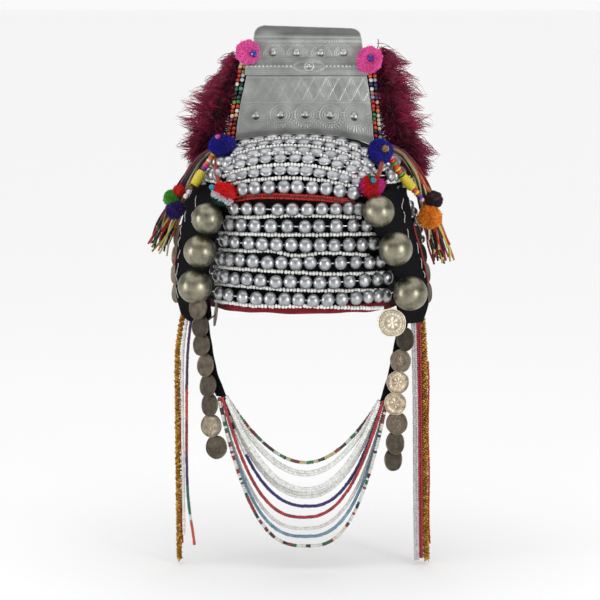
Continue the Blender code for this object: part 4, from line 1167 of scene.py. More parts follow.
def make_strap(side):
    """The doubled cotton strap: a soft flat band with rounded edges."""
    across, face = strap_axes(side)
    route = smooth_route(STRAP_ROUTES[side], STRAP_STEPS)
    turns = full_turn(STRAP_SIDES)
    wide = STRAP_HALF_WIDTH * np.sign(np.cos(turns)) * np.abs(np.cos(turns)) ** 0.5
    thick = 1.15 * np.sign(np.sin(turns)) * np.abs(np.sin(turns)) ** 0.6
    ripple = 0.3 * np.sin(np.arange(STRAP_STEPS) * 0.5)[:, None]
    points = route[:, None] + wide[:, None] * across + (thick + ripple)[..., None] * face
    place = np.linspace(0, length_of(route), STRAP_STEPS)[:, None]
    heap = Heap()
    heap.add(grid(points[::-1] if side == "left" else points, close=True), lay=stacked(wide, place, 0))
    for end in (0, -1):
        heap.add((points[end], [list(range(STRAP_SIDES))]))
    strap = heap.piece(f"strap_cloth_{side}", INDIGO, [f"chin_strap_{side}"])


def coin_relief(share, turn, rng, kept):
    """The relief of an old coin: raised rim, beading, a wreath and a rosette of petals."""
    petals = int(rng.integers(5, 9))
    leaves = int(rng.integers(16, 24))
    struck = 0.28 * ridge(share - 0.83, 0.035) * (0.5 + 0.5 * np.cos(40 * turn))
    struck = struck + 0.34 * ridge(share - 0.64, 0.09) * np.abs(np.sin(leaves / 2 * turn + 6 * share))
    struck += 0.4 * ridge(share - 0.26, 0.16) * np.abs(np.cos(petals / 2 * turn))
    struck += 0.35 * ridge(share, 0.09)
    return struck * kept + 0.4 * np.clip((share - 0.92) / 0.03, 0, 1) * (0.55 + 0.45 * kept)


def add_coin(heap, rng, middle, side, degrees, radius, bright, kept):
    """One coin, a little out of round and dished, its relief on the front."""
    turn = math.radians(degrees) * SIDES[side]
    across = np.array((math.cos(turn), math.sin(turn), 0))
    level = math.cos(COIN_LAP_TILT)
    face = np.array((math.sin(turn) * level, -math.cos(turn) * level, math.sin(COIN_LAP_TILT)))
    upward = np.cross(across, face)
    rings = np.concatenate((np.linspace(0.02, 0.8, 12), np.linspace(0.82, 1.0, 9)))
    share, angle = np.meshgrid(rings, full_turn(64), indexing="ij")
    relief = coin_relief(share, angle + rng.uniform(0, 6), rng, kept)
    phases = rng.uniform(0, 6, 3)
    outline = 1 + 0.012 * np.sin(2 * angle + phases[0]) + 0.01 * np.sin(5 * angle + phases[1])
    reach = radius * share * outline
    dish = 0.25 * np.sin(angle + phases[2]) * share**2
    depth = COIN_THICKNESS / 2 - 0.35 + relief + dish
    flat = (reach * np.cos(angle))[..., None] * across + (reach * np.sin(angle))[..., None] * upward
    front = middle + flat + depth[..., None] * face
    edge = middle + flat[-1] * 1.004 + 0.25 * face
    back = middle + flat[[-1, 0]] - COIN_THICKNESS / 2 * face
    points = np.concatenate((front, edge[None], back))
    shade = np.full(points.shape[:2], 1.25)
    shade[: len(rings)] = 0.66 - 0.14 * kept + (0.7 + 0.14 * kept) * np.clip(relief / 0.4, 0, 1)
    heap.add(grid(points, close=True), bright * shade[..., None] * (1.0, 0.98, 0.94))


# How bright each old coin is, and how much of its relief is left, from the top down
STRAP_COIN_WEAR = {
    "left": ((0.42, 0.15), (0.66, 0.2), (0.9, 0.3), (0.6, 0.2), (0.62, 0.2), (1.1, 0.4), (0.52, 0.2)),
    "right": ((0.42, 0.2), (1.15, 0.5), (1.8, 1.0), (1.9, 1.0), (0.85, 0.35), (0.8, 0.25), (0.65, 0.25)),
}
FLAP_COIN_WEAR = {
    "left": ((1.9, 0.3), (1.7, 0.3), (1.9, 0.3), (1.6, 0.3)),
    "right": ((0.9, 0.4), (0.5, 0.3), (1.3, 0.3), (0.9, 0.3)),
}


def make_coins():
    rng = np.random.default_rng(15)
    for side in SIDES:
        _, face = strap_axes(side)
        route = smooth_route(STRAP_ROUTES[side], 60)
        heap = Heap()
        thread = []
        if side == "left":
            middle, degrees = HEM_COIN
            thread.append(np.array(middle))
            add_coin(heap, rng, np.array(middle), side, degrees, COIN_RADIUS, 0.7, 0.2)
            z, share, out, degrees = FOOT_COIN
            add_coin(heap, rng, flap_point(side, z, share, out), side, degrees, COIN_RADIUS, 0.7, 0.2)
        for (x, z, degrees, out), (bright, kept) in zip(STRAP_COINS[side], STRAP_COIN_WEAR[side]):
            behind = route[np.argmin(np.abs(route[:, 2] - z))]
            middle = np.array((x, behind[1] + (out - face[0] * (x - behind[0])) / face[1], z))
            thread.append(middle - COIN_THICKNESS * face)
            add_coin(heap, rng, middle, side, degrees, COIN_RADIUS, bright, kept)
        heap.add(threads(evenly(np.array(thread), 40), 0.7, 6), (0.5, 0.45, 0.4))
        heap.piece(f"strap_coin_run_{side}", OLD_COIN, [f"strap_coins_{side}"])
        heap = Heap()
        for z, (bright, kept) in zip(FLAP_COIN_HEIGHTS, FLAP_COIN_WEAR[side]):
            run = flap_point(side, z, 1) - flap_point(side, z, 0)
            lean = math.radians(FLAP_COIN_TURN) - math.atan2(run[1], abs(run[0]))
            behind = COIN_RADIUS * math.sin(lean) + (COIN_THICKNESS + FLAP_THICKNESS) / 2 + 2 * SEW_GAP
            middle = flap_point(side, z, FLAP_COIN_SHARE, -behind)
            add_coin(heap, rng, middle, side, FLAP_COIN_TURN, COIN_RADIUS, bright, kept)
        heap.piece(f"flap_coin_run_{side}", OLD_COIN, [f"flap_coins_{side}"])
    heap = Heap()
    middle, degrees = BROW_COIN
    add_coin(heap, rng, np.array(middle), "right", degrees, BROW_COIN_RADIUS, 1.15, 1.0)
    heap.piece("brow_coin_face", BRIGHT_COIN, ["brow_coin"])


# Strings and strands


def chin_line(number):
    """A string that hangs between the straps, steep at its ends and round below."""
    _, low_x, low_z, fullness = list(CHIN_STRINGS.values())[number]
    end, layer = divmod(number, len(CHIN_LAYER_DEPTHS))
    run = np.arange(-60, 61) / 60
    left, right = (np.array(CHIN_ENDS[side][end])[:, None] for side in SIDES)
    end_x, end_z = np.where(run < 0, left, right)
    reach = np.abs(run) ** 0.8
    x = low_x + (end_x - low_x) * reach
    z = low_z + (end_z - low_z) * reach**fullness
    return stacked(x, CHIN_LAYER_DEPTHS[layer], z)


# Strings that aren't white: their colours, the longest run of one colour, their slot
CHIN_COLOURS = {
    "red_green": (
        ("#7c2420", "#3a2a1e", "#2f7d57", "#c9ccc4", "#a8202a", "#3a6b3f", "#c8b98a"), 3, "mixed_seed"
    ),
    "dark_blue": (("#1d1270", "#150d5c", "#24187c"), 3, "dark_blue_seed"),
    "red": (("#a81f2b", "#b02a2c", "#901822"), 3, "red_seed"),
    "light_blue": (("#7299ae", "#80a7b9", "#648da4"), 4, "light_blue_seed"),
    "many_coloured": (
        ("#d5dad4", "#d8ccbd", "#8c1a20", "#d9dcd6", "#1f5a3e", "#dcd2c4", "#2c1a18", "#d5dad4"),
        2, "mixed_seed",
    ),
}
CHIN_SEED_WIDTH = 3.9
CHIN_PITCH = 2.4
CHIN_SPACING = 2.9  # between strings side by side


def make_chin_strings():
    rng = np.random.default_rng(16)
    for number, (name, (strings, *_)) in enumerate(CHIN_STRINGS.items()):
        line = chin_line(number)
        palette, longest, slot = CHIN_COLOURS.get(name, (("#eeeeea",), 1, "white_seed"))
        heap = Heap()
        for string in range(strings):
            shift = (string - (strings - 1) / 2) * CHIN_SPACING
            wave = 0.35 * np.sin(np.linspace(0, 9, len(line)) + 2 * number + 3 * string)
            moved = line + stacked(0, 0, wave + shift)
            tints = runs(rng, round(length_of(moved) / CHIN_PITCH), palette, longest)
            if name == "dark_blue":
                tints[:16] = runs(rng, 16, ("#15171f", "#d6d6d4"), 1)
                tints[16:27] = WHITE
                tints[-9:] = paint("#17141f")
            string_seeds(heap, rng, moved, CHIN_SEED_WIDTH, CHIN_PITCH, tints, 0.08, 7, 1.3)
        heap.piece(f"seeds_{name}", GLASS, [f"chin_string_{name}"])


# The gold ropes: how many strings, the length of a full turn, and how far apart the seeds are
ROPE_STRANDS = 3
ROPE_TURN = 16
ROPE_PITCH = 2.2


def rope_of_seeds(heap, rng, line, radius, palette):
    """Fine strings of seeds twisted round each other."""
    side, over = across_of(np.gradient(line, axis=0)[None], line[None])
    place = np.linspace(0, length_of(line), len(line))[:, None]
    for strand in range(ROPE_STRANDS):
        angle = 2 * np.pi * (place / ROPE_TURN + strand / ROPE_STRANDS)
        twisted = line + radius * 0.55 * (np.cos(angle) * side[0] + np.sin(angle) * over[0])
        tints = runs(rng, round(length_of(twisted) / ROPE_PITCH), palette, 2)
        string_seeds(heap, rng, twisted, radius * 1.2, ROPE_PITCH, tints, 0.2, 6)


# The coloured strand: heights down to which each colour goes
COLOURED_RUNS = (
    (-64, "#46204e"), (-100, "#4a2350"), (-132, "#c0472c"), (-168, "#8c1f26"), (-200, "#34104c"),
    (-232, "#1f6046"), (-238, "#cfe3da"), (-300, "#c64a34"),
)


def strand_line(name):
    radius, share, route = SIDE_STRANDS[name]
    behind = FLAP_THICKNESS / 2 + 2.5 * SEW_GAP + radius
    top = flap_point(name.split("_")[1], -17, share, -behind)
    return smooth_route(np.concatenate((top[None], np.array(route, float))), 160)


def make_side_strands():
    rng = np.random.default_rng(17)
    gold = ("#d09a34", "#b07a26", "#e0b24c", "#a06e20", "#d0a040", "#bf8a30")
    for name, (radius, _, _) in SIDE_STRANDS.items():
        line = strand_line(name)
        heap = Heap()
        material = GLASS
        if name.startswith("gold"):
            rope_of_seeds(heap, rng, line, radius * (1.08 if name.endswith("left") else 1.25), gold)
            sway = 0.5 * np.sin(np.arange(116) * 0.11)[:, None]
            beside = line[34:150] + (radius + 0.9, -0.6, 0) + sway * (1, 0, 0)
            string_seeds(heap, rng, beside, 2.2, 1.7, paint("#d2461f"), 0.1, 6, 1.3)
            splay = np.linspace(-1, 1, 7)[:, None] * (2.2, 0.8, 0)
            fall = rng.uniform(2, 6, (7, 1)) * (0, 0, 1)
            end = line[-1] + (0, 0, 1.5)
            frayed = [end + splay * (0.4 + 0.6 * share) - fall * share for share in (0, 0.5, 1)]
            heap.add(threads(np.stack(frayed, axis=1), 0.5, 5), paint(gold[0]))
            material, slot = GILT, "gold_thread"
        elif name == "grey_right":
            # painted shade: this pair's white seeds are painted grey
            for shift in (-1.4, 1.4):
                string_seeds(heap, rng, line + (shift, 0, 0), 3.3, 2.2, paint("#c8c2c6"), 0.08, 7, 1.25)
            slot = "white_seed"
        elif name == "coloured_left":
            placed = evenly(line, round(length_of(line) / 2.0))
            codes = [next(code for low, code in COLOURED_RUNS if z >= low) for z in placed[:, 2]]
            string_seeds(heap, rng, line, 3.6, 2.0, np.array([paint(code) for code in codes]), 0.08, 7, 1.25)
            slot = "mixed_seed"
        else:
            code, slot = ("#e8e5e2", "white_seed") if name.startswith("white") else ("#9a1c24", "red_seed")
            for shift in (0,) if name.endswith("left") else (-1.2, 1.2):
                string_seeds(heap, rng, line + (shift, 0, 0), 3.9, 2.3, paint(code), 0.08, 7, 1.25)
        heap.piece(f"strand_{name}", material, [f"side_strand_{name}"])


# Wool, feathers and yarn


def pompom(heap, rng, middle, radius, tint_of, squash=(1, 1, 1), ends=2000):
    """Wool tied at the middle and cut round: a core and thousands of yarn ends, a little lumpy."""
    number = np.arange(ends) + 0.5
    rise = 1 - 2 * number / ends
    turn = number * math.pi * (1 + 5**0.5)
    level = np.sqrt(1 - rise**2)
    ways = stacked(level * np.cos(turn), level * np.sin(turn), rise)
    ways = unit(ways + rng.normal(0, 0.03, ways.shape))
    lumps = 1 + 0.045 * np.sin(ways @ rng.normal(0, 3.2, (3, 3)) + rng.uniform(0, 6, 3)).sum(axis=1)
    tips = ways * (lumps * rng.normal(0.94, 0.05, ends))[:, None] * radius
    roots = unit(ways + rng.normal(0, 0.1, ways.shape)) * radius * 0.7
    lines = middle + np.stack((roots, tips), axis=1) * squash
    tints = tint_of(ways + rng.normal(0, 0.06, ways.shape)) * rng.uniform(0.85, 1.15, (ends, 1))
    width = 2.9 / math.sqrt(ends) * radius * rng.uniform(0.7, 1.1, (ends, 1)) * np.array((1.0, 0.5))
    heap.add(threads(lines, width, 3), np.repeat(tints, 6, axis=0))
    steps = np.linspace(0.02, np.pi - 0.02, 14)
    profile = stacked(-np.cos(steps), np.sin(steps)) * 0.84
    points, faces = turned((0, 0, 0), (0, 0, 1), profile, 24, radius)
    # the core in painted shade, darker than the yarn ends
    heap.add((middle + points * squash, faces), tint_of(unit(points)) * 0.85)


def plain(code):
    """The same tint all over a pompom."""
    return lambda ways: np.broadcast_to(paint(code), ways.shape)


def banded_left(ways):
    """Red above and to the right, a white slanting band, dark green at the lower left."""
    slant = ways[:, 0] * 0.55 + ways[:, 2]
    tints = np.where((slant > -0.15)[:, None], paint("#f01c1c"), paint("#e4dfe6"))
    return np.where((slant < -0.72)[:, None], paint("#0e4a36"), tints)


def banded_right(ways):
    """Red with magenta sides and a green notch at the top."""
    x, _, z = ways.T
    tints = np.where((np.abs(x) > 0.62)[:, None], paint("#d0288a"), paint("#dc141c"))
    return np.where(((z > 0.4) & (np.abs(x - 0.1) < 0.3 * z))[:, None], paint("#1f7a4c"), tints)


def facet_bead(heap, middle, radius, tint):
    """A bead cut in flat facets."""
    profile = ((-1, 0.3), (-0.75, 0.72), (0, 1), (0.75, 0.72), (1, 0.3), (1.0, 0.02))
    points, faces = turned(middle, (0, -1, 0.1), profile, 8, radius)
    split = points[np.asarray(faces).ravel()]
    heap.add((split, np.arange(len(split)).reshape(-1, 4)), tint)


def make_pompoms():
    rng = np.random.default_rng(18)
    for name, middle, radius, tint_of, squash, slot in (
        ("pink_pompom_left", (-59, -2.2, 244), 13.4, plain("#ff6cc0"), (1, 0.6, 1), "pink_wool"),
        ("pink_pompom_right", (68, -3.6, 236.5), 14.4, plain("#ff66ba"), (1, 0.6, 1), "pink_wool"),
        ("blue_pompom_left", (-81.6, -46.9, 151.4), 13.8, plain("#2620a0"), (1.08, 1, 0.82), "blue_wool"),
        ("blue_pompom_right", (76.6, -67.7, 145.8), 13.8, plain("#241e98"), (1, 1, 0.97), "blue_wool"),
        ("red_pompom_left", (-80.5, -86.5, 105), 12.6, banded_left, (1, 1, 1), "red_wool"),
        ("red_pompom_right", (67, -93.5, 113), 12.8, banded_right, (1.05, 1, 0.88), "red_wool"),
    ):
        heap = Heap()
        pompom(heap, rng, np.array(middle, float), radius, tint_of, squash)
        heap.piece(name.replace("pompom", "wool"), WOOL, [name])
    heap = Heap()
    for route in (
        ((-89, -52, 138), (-88, -68, 122), (-80.5, -86.5, 105)),
        ((78, -77, 136), (76, -84, 127), (67, -93.5, 113)),
    ):
        for shift in (-0.9, 0.9):
            line = smooth_route(route, 50)[:36] + (shift, 0, 0)
            tints = runs(rng, round(length_of(line) / 1.9), ("#8c2c20", "#a83626"), 4)
            string_seeds(heap, rng, line, 2.9, 1.9, tints, 0.08, 7, 1.25)
    heap.piece("pompom_strings", GLASS)
    wire = smooth_route(((70, -4, 240), (76, -3, 250), (76.5, -2, 258)), 20)
    heap = Heap()
    heap.add(threads(wire, 0.45, 6), paint("#8c8c8c"))
    heap.piece("pompom_wire", NICKEL)
    heap = Heap()
    for middle, radius, code in (
        ((-51.5, -10.8, 243.4), 4.0, "#2c0f8e"), ((68.5, -13.2, 238.9), 4.0, "#2a0e80"),
        ((-87.2, -54.6, 160.3), 3.0, "#b0307a"), ((81.5, -80.5, 150), 4.0, "#7a5212"),
        ((-92, -92, 112), 3.2, "#12789c"), ((69, -104.8, 119.8), 3.2, "#107096"),
    ):
        facet_bead(heap, middle, radius, paint(code))
    heap.piece("cut_beads", CRYSTAL, smooth=False)


def quill_line(side):
    """The plume's quill: it hangs close outside the backing's edge."""
    column = 1 if side == "left" else 2
    widening = (abs(PLATE_ROWS[0][column]) - abs(PLATE_ROWS[1][column])) / PLATE_ROWS[1][0]
    points = []
    for z, thickness, out, _ in PLUME_ROWS[side]:
        up = (z - PLATE_FOOT[2]) / math.cos(PLATE_LEAN)
        edge = abs(read_table(PLATE_ROWS, max(up, 0))[column - 1]) + widening * max(-up, 0)
        points.append((SIDES[side] * (edge + 10 + thickness + out + 0.45), 12, z))
    return np.array(points, float)


# How far the plume's tufts rise with their reach, from its top to its foot
TUFT_RISE = {
    "left": (-0.1, -0.3, -0.15, 0.25, 0.35, 0.05, -0.15, -0.3),
    "right": (0.2, 0, 0, 0.05, 0, -0.05, -0.3, -0.5),
}
# The crimson dye with painted shade and light: in the fluff's hollows and where it is lit, then on the long
# barbs, from their shaded roots outwards to their lit and their faded tips
SHADED_DYE, LIT_DYE, SHADED_ROOT_DYE, LIT_TIP_DYE, FADED_DYE = (
    np.array(paint(code)) for code in ("#2a0511", "#8a1640", "#560a24", "#c8245e", "#8c5a66")
)
FLUFF = 6000  # barbs of fluff
TUFTS = 96
TUFT_BARBS = 30


def add_barbs(heap, rng, lines, widths, tints):
    """Flat barbs, each turned a little its own way; tints are one for each point."""
    face = unit(np.array((0.0, -1.0, 0.15)) + rng.normal(0, 0.35, (len(lines), 1, 3)))
    heap.add(ribbons(lines, widths, face), np.repeat(tints[:, :, None], 2, axis=2))


def make_plume(side):
    """Dyed down: fluff all round the quill, in painted shade and light, and tufts of longer barbs, shaded at
    their roots, with faded tips.
    """
    rng = np.random.default_rng(19 if side == "left" else 20)
    quill = quill_line(side)
    last = len(quill) - 1
    rows = np.column_stack((np.arange(last + 1), quill, PLUME_ROWS[side], TUFT_RISE[side]))
    heap = Heap()

    t = np.linspace(0, 1, 4)[None, :, None]
    place = rng.uniform(0, last, FLUFF)
    *centre, _, thick, gap, _, _ = read_table(rows, place)
    angle = rng.uniform(0, 2 * np.pi, FLUFF)
    way = stacked(SIDES[side] * np.cos(angle), np.sin(angle), rng.normal(-0.2, 0.4, FLUFF))
    # Towards the plate the fluff fills the gap between the quill and the backing's edge
    long = thick * rng.uniform(0.7, 1.0, FLUFF) * 1.32 + 0.95 * gap * np.clip(-np.cos(angle), 0, 1)
    root = stacked(*centre) + rng.normal(0, 1.0, (FLUFF, 3)) * thick[:, None] * (0.12, 0.12, 0.2)
    curl = rng.normal(0, 0.22, (FLUFF, 1, 3)) * long[:, None, None]
    lines = root[:, None] + (way * long[:, None])[:, None] * t + curl * t**2
    # painted shade and light: patches of fluff between the shaded and the lit colour, darker towards the
    # quill
    patch = 0.5 + 0.5 * np.sin(place * 3.7 + 1.6 * np.sin(angle) + rng.normal(0, 0.5, FLUFF))
    patch = (patch * rng.uniform(0.5, 1.2, FLUFF))[:, None, None]
    tints = (SHADED_DYE + (LIT_DYE - SHADED_DYE) * patch) * (0.6 + 0.5 * t)
    add_barbs(heap, rng, lines, np.array((0.9, 1.0, 0.8, 0.3)) * rng.uniform(0.7, 1.1, (FLUFF, 1)), tints)

    t = np.linspace(0, 1, 6)[None, :, None]
    place = np.clip(np.linspace(0, last, TUFTS) + rng.normal(0, 0.05, TUFTS), 0, last)
    turn = rng.permutation(np.linspace(-1.5, 1.5, TUFTS)) * 0.85
    *centre, _, thick, _, length, rise = read_table(rows, place)
    centre = stacked(*centre)
    fan = np.clip(0.45 + 0.62 * np.cos(turn), 0.3, 1)
    reach = thick * 0.9 + length * rng.uniform(0.55, 1.12, TUFTS) * fan
    rise = rise + rng.normal(0, 0.14, TUFTS)
    tip = centre + reach[:, None] * stacked(SIDES[side] * np.cos(turn), np.sin(turn), rise)
    owner = np.repeat(np.arange(TUFTS), TUFT_BARBS)
    count = len(owner)
    root = centre[owner] + rng.normal(0, 1.0, (count, 3)) * (1.5, thick.mean() * 0.25, 5.0)
    end = tip[owner] + rng.normal(0, 0.9, (count, 3)) * (1.0, 1.0, 1.3)
    end = root + (end - root) * rng.uniform(0.5, 1.05, (count, 1))
    bow = (rng.normal(0, 0.1, (count, 1, 3)) + (0, 0, 0.1)) * reach[owner, None, None]
    flick = rng.normal(0, 0.8, (count, 1, 3)) + (0, 0, 1.0)
    lines = root[:, None] * (1 - t) + end[:, None] * t + bow * 4 * t * (1 - t) + flick * t**5
    # painted shade and light: each barb between the shaded and the lit colour, darker at its root
    level = rng.uniform(0, 1, TUFTS)[owner] * 0.75 + rng.uniform(0, 0.3, count)
    level = np.clip(level, 0, 1)[:, None, None]
    tints = SHADED_ROOT_DYE + (LIT_TIP_DYE - SHADED_ROOT_DYE) * level * (0.35 + 0.65 * t)
    fade = np.clip((t - 0.75) / 0.25, 0, 1) * rng.uniform(0.1, 0.9, (count, 1, 1))
    tints = tints * (1 - fade) + FADED_DYE * fade
    widths = np.array((0.9, 0.88, 0.76, 0.6, 0.42, 0.16)) * rng.uniform(0.7, 1.2, (count, 1))
    add_barbs(heap, rng, lines, widths, tints)
    thick = np.interp(np.linspace(0, last, 30), np.arange(last + 1), [row[1] for row in PLUME_ROWS[side]])
    # the quill in the painted shade colour
    heap.add(threads(evenly(quill, 30), thick * 0.7, 12), SHADED_DYE)
    heap.piece(f"plume_barbs_{side}", DOWN, [f"feather_plume_{side}"])


# The bundle is given as x, y, z and radius, from where it is tied down to where its yarns part
TASSELS = {
    "left": {
        "bundle": (
            (-91.2, -37.6, 147.2, 2.5), (-106, -30, 136, 4), (-118, -24, 116, 6), (-128, -20, 95, 8.5),
        ),
        "tips": (-153, -18, 40),
        "yarns": (
            "#14100f", "#a8a03e", "#c9bf9a", "#b3221c", "#1a1a1e", "#3a1a58", "#16301f", "#7d7a3c",
            "#5a1020",
        ),
        "bottoms": ("#c41a1c", "#e2d9b4", "#d86a1e", "#14100f", "#2f7d57"),
        "pompoms": (
            ((-132, -34, 85), 10.2, "#34127a"), ((-136, -31, 96), 9, "#58b840"),
            ((-127.5, -33, 104), 6.5, "#f01c1c"),
        ),
    },
    "right": {
        "bundle": ((86.6, -58.2, 150.3, 2.5), (102, -46, 140, 4), (117, -32, 118, 6), (127, -25, 90, 9)),
        "tips": (145, -22, 27),
        "yarns": (
            "#1c1a52", "#d9762a", "#7a1420", "#b3221c", "#c9c48e", "#14100f", "#5a1020", "#b0a83e",
            "#16142e",
        ),
        "bottoms": ("#d86a1e", "#e2d9b4", "#c41a1c", "#c23a6a", "#14100f", "#d9c84a"),
        "pompoms": (((129, -40, 78), 12.8, "#ff981c"), ((133, -37, 95), 9.5, "#34081a")),
    },
}


YARNS = 84
YARN_STEPS = 26  # points along each yarn
SMALL_POMPOM_ENDS = 1150


def make_tassel(side):
    """A tassel of dyed yarns that fall together and part near their ends."""
    rng = np.random.default_rng(21 if side == "left" else 22)
    form = TASSELS[side]
    bundle = np.array(form["bundle"], float)
    fine = smooth_route((*bundle[:, :3], form["tips"]), YARN_STEPS)
    foot = np.argmin(np.linalg.norm(fine - bundle[-1, :3], axis=1))
    steps = np.arange(YARN_STEPS)
    radii = np.interp(steps, np.linspace(0, foot, 4), bundle[:, 3])
    radii[foot:] = bundle[-1, 3] + np.linspace(0, 3.0, YARN_STEPS - foot)
    angle = rng.uniform(0, 2 * np.pi, YARNS)
    spread = (np.sqrt(rng.uniform(0, 1, YARNS))[:, None] * radii)[..., None]
    side_way, over = across_of(np.gradient(fine, axis=0)[None], fine[None])
    swing = (angle[:, None] + rng.uniform(-0.09, 0.12, (YARNS, 1)) * steps)[..., None]
    lines = fine + spread * (np.cos(swing) * side_way + np.sin(swing) * over)
    wave = np.linspace(0.15, 1, YARN_STEPS) ** 1.5 * rng.uniform(0.8, 2.2, (YARNS, 1))
    phase = rng.uniform(0, 6, (YARNS, 2, 1))
    lines[..., 0] += wave * np.sin(steps * 0.7 + phase[:, 0])
    lines[..., 1] += wave * np.sin(steps * 0.6 + phase[:, 1])
    for i, keep in enumerate(rng.uniform(0.74, 1.0, YARNS)):
        cut = np.linspace(0, keep * (YARN_STEPS - 1), YARN_STEPS)
        lines[i] = stacked(*read_table(np.column_stack((steps, lines[i])), cut))
    near = np.floor(angle / (2 * np.pi) * len(form["yarns"])) + rng.integers(0, 4, YARNS)
    tints = np.array([paint(form["yarns"][int(k) % len(form["yarns"])]) for k in near])
    ends = np.array([paint(form["bottoms"][k]) for k in rng.integers(0, len(form["bottoms"]), YARNS)])
    dyed = (steps > 19)[:, None] & (rng.uniform(0, 1, YARNS) < 0.45)[:, None, None]
    tints = np.where(dyed, ends[:, None], tints[:, None]) * rng.uniform(0.85, 1.15, (YARNS, 1, 1))
    # painted shade: the yarns darker towards where they are tied, where they pass behind the bead drop and
    # the flap
    tints = tints * np.interp(steps, (0, 5, 12), (0.25, 0.45, 1.0))[:, None]
    heap = Heap()
    heap.add(threads(lines, 1.1, 5), np.repeat(tints.reshape(-1, 3), 5, axis=0))
    for middle, radius, code in form["pompoms"]:
        pompom(heap, rng, np.array(middle, float), radius, plain(code), (1, 1, 1), SMALL_POMPOM_ENDS)
    heap.piece(f"tassel_yarns_{side}", YARN, [f"wool_tassel_{side}"])


BEAD_DROPS = {
    "left": ((-92.1, -45.4, 142.5), (-103, -47.5, 125.5), (-111.5, -50, 111.5), (-120, -52, 100)),
    "right": ((87.6, -60.2, 139.8), (98.5, -55.5, 122.5), (111.5, -52, 107), (120, -52, 96.5)),
}
# The drops' beads: place along the drop as a share, length, radius, colour
DROP_BEADS = {
    "left": (
        (0.0, 5, 2.8, "#c8962e"), (0.09, 4, 2.6, "#e0702a"), (0.16, 3, 2.6, "#e6e2d8"),
        (0.22, 3, 2.8, "#e0702a"), (0.28, 4, 3.2, "#d8287e"), (0.35, 3, 3.0, "#6a2090"),
        (0.8, 3, 1.8, "#7a2a1c"), (0.9, 4.6, 2.4, "#e2dadb"), (1.0, 4.6, 2.4, "#e2dadb"),
    ),
    "right": (
        (0.0, 4, 2.8, "#f080a8"), (0.07, 4, 3.4, "#d8281c"), (0.14, 3, 3.6, "#4fa53a"),
        (0.2, 4, 3.6, "#d8281c"), (0.26, 3, 3.6, "#d9c522"), (0.32, 4, 3.6, "#d8281c"),
        (0.38, 3, 3.4, "#4fa53a"), (0.78, 3, 3.4, "#d8281c"), (0.84, 3, 3.2, "#d9c522"),
        (0.89, 3, 3.0, "#a02018"), (0.95, 4, 2.8, "#26268e"), (1.0, 4, 2.2, "#e3a0b4"),
    ),
}
# Between which shares the yellow thread is wrapped
YELLOW_SHARES = {"left": (0.4, 0.74), "right": (0.42, 0.75)}


def make_bead_drop(side):
    """A drop of seeds with a cylinder wrapped in yellow thread."""
    route = smooth_route(BEAD_DROPS[side], 101)
    directions = unit(np.gradient(route, axis=0))
    heap = Heap()
    heap.add(threads(route, 0.5, 6), paint("#5a2018"))
    for share, long, radius, code in DROP_BEADS[side]:
        spot = round(share * 100)
        heap.add(turned(route[spot], directions[spot], SEED, 12, (long * 1.15, radius * 1.1)), paint(code))
    first, last = (int(share * 100) for share in YELLOW_SHARES[side])
    wrapped = route[first:last]
    steps = np.linspace(0, 2 * np.pi, len(wrapped) * 4)
    fine = evenly(wrapped, len(wrapped) * 4)
    ribs = (3.2 + 1.7 * np.sin(steps / 2) ** 0.4) + 0.35 * np.abs(np.sin(steps * 8))
    heap.add(threads(fine, ribs, 18), paint("#d9c522"))
    heap.piece(f"drop_beads_{side}", GLASS, [f"bead_drop_{side}"])


def make_side_beads():
    """Thin dented silver beads on a loose thread behind the right flap."""
    top = flap_point("right", 100, 0.9, -(FLAP_THICKNESS / 2 + SEW_GAP + 4.5))
    route = np.concatenate((top[None], ((110, -26, 87), (116, -18, 71), (120.5, -15, 56), (121, -15, 42))))
    centres = smooth_route(route, 8)
    points, faces = turned(centres, np.gradient(centres, axis=0), SILVER_BEAD, 16, 4.8)
    points = points + 0.35 * np.sin(points[:, [1, 2, 0]] * 1.7) * np.cos(points[:, [2, 0, 1]] * 1.3)
    heap = Heap()
    heap.add((points, faces), 1.15)
    heap.add(threads(smooth_route(route, 40), 0.5, 6), 0.8)
    heap.piece("side_beads", SILVER, ["side_bead_string"])


# Floor, lights and camera

FLOOR_DROP = 0.006  # below the lowest point
FLOOR_REACH = 300
LIT_MIDDLE = (0, -0.05, 0)


def soft_light(name, kind, place, power, **settings):
    """A lamp that looks at the object's middle."""
    lamp = bpy.data.lights.new(name, kind)
    lamp.energy = power
    for setting, value in settings.items():
        setattr(lamp, setting, value)
    light = bpy.data.objects.new(name, lamp)
    light.location = place
    light.rotation_mode = "QUATERNION"
    light.rotation_quaternion = (Vector(LIT_MIDDLE) - Vector(place)).to_track_quat("-Z", "Y")
    bpy.context.scene.collection.objects.link(light)


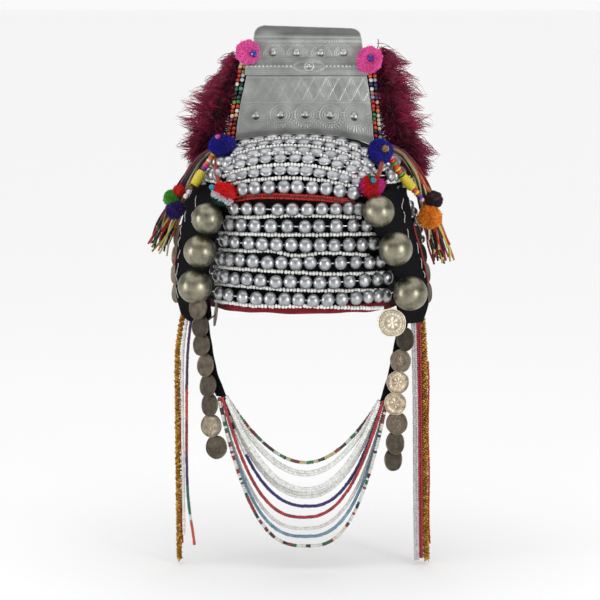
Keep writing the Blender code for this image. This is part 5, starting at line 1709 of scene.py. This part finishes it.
def make_studio():
    """White paper to the horizon, a surround that darkens overhead, and a tall soft box on each side."""
    scene = bpy.context.scene
    floor = bpy.data.meshes.new("studio_floor")
    corners = ((-1, -1), (1, -1), (1, 1), (-1, 1))
    level = CAD_BOX[0][2] - FLOOR_DROP
    floor.from_pydata([(x * FLOOR_REACH, y * FLOOR_REACH, level) for x, y in corners], [], [(0, 1, 2, 3)])
    tints = floor.color_attributes.new("tint", "FLOAT_COLOR", "POINT")
    tints.data.foreach_set("color", np.ones(16, np.float32))
    floor_object = bpy.data.objects.new("studio_floor", floor)
    scene.collection.objects.link(floor_object)
    paper, tree, shader, lay = begin("white_paper")
    patchy(tree, shader, lay, 40.0, ("#f7f7f7", "#f9f9f9"), (0.9, 0.95))
    floor.materials.append(paper)
    world = bpy.data.worlds.new("studio")
    world.use_nodes = True
    tree = world.node_tree
    way = node(tree, "TexCoord").outputs["Generated"]
    rise = node(tree, "SeparateXYZ", None, {"Vector": way}).outputs["Z"]
    glow = node(tree, "MapRange", None, {"Value": rise, "From Max": 0.3, "To Min": 0.95, "To Max": 0.42})
    tree.links.new(glow.outputs["Result"], tree.nodes["Background"].inputs["Strength"])
    tree.nodes["Background"].inputs["Color"].default_value = (1, 1, 1, 1)
    scene.world = world
    box = {"shape": "RECTANGLE", "size": 0.42, "size_y": 0.8}
    soft_light("left_softbox", "AREA", (-1.72, -0.78, 0.17), 9, **box)
    soft_light("right_softbox", "AREA", (1.15, -1.52, 0.17), 11, **box)
    soft_light("overhead_glow", "SUN", (0, -0.05, 5), 1.75, angle=math.radians(90))
    camera = bpy.data.cameras.new("camera")
    camera.sensor_width = SENSOR_WIDTH
    camera.lens = SENSOR_WIDTH * FOCAL_PIXELS / PICTURE_PIXELS
    camera_object = bpy.data.objects.new("camera", camera)
    camera_object.location = EYE * MM
    camera_object.rotation_mode = "QUATERNION"
    camera_object.rotation_quaternion = Vector(-CAMERA_BACK).to_track_quat("-Z", "Y")
    scene.collection.objects.link(camera_object)
    scene.camera = camera_object
    scene.view_settings.view_transform = "Standard"


def main():
    make_studio()
    make_cap()
    make_hem()
    make_silver_rows()
    make_sewn_seeds()
    make_plate()
    make_backing()
    make_edge_seeds()
    for side in SIDES:
        make_flap(side)
        make_strap(side)
        make_plume(side)
        make_tassel(side)
        make_bead_drop(side)
    make_flap_trim()
    make_balls()
    make_coins()
    make_chin_strings()
    make_side_strands()
    make_pompoms()
    make_side_beads()


main()
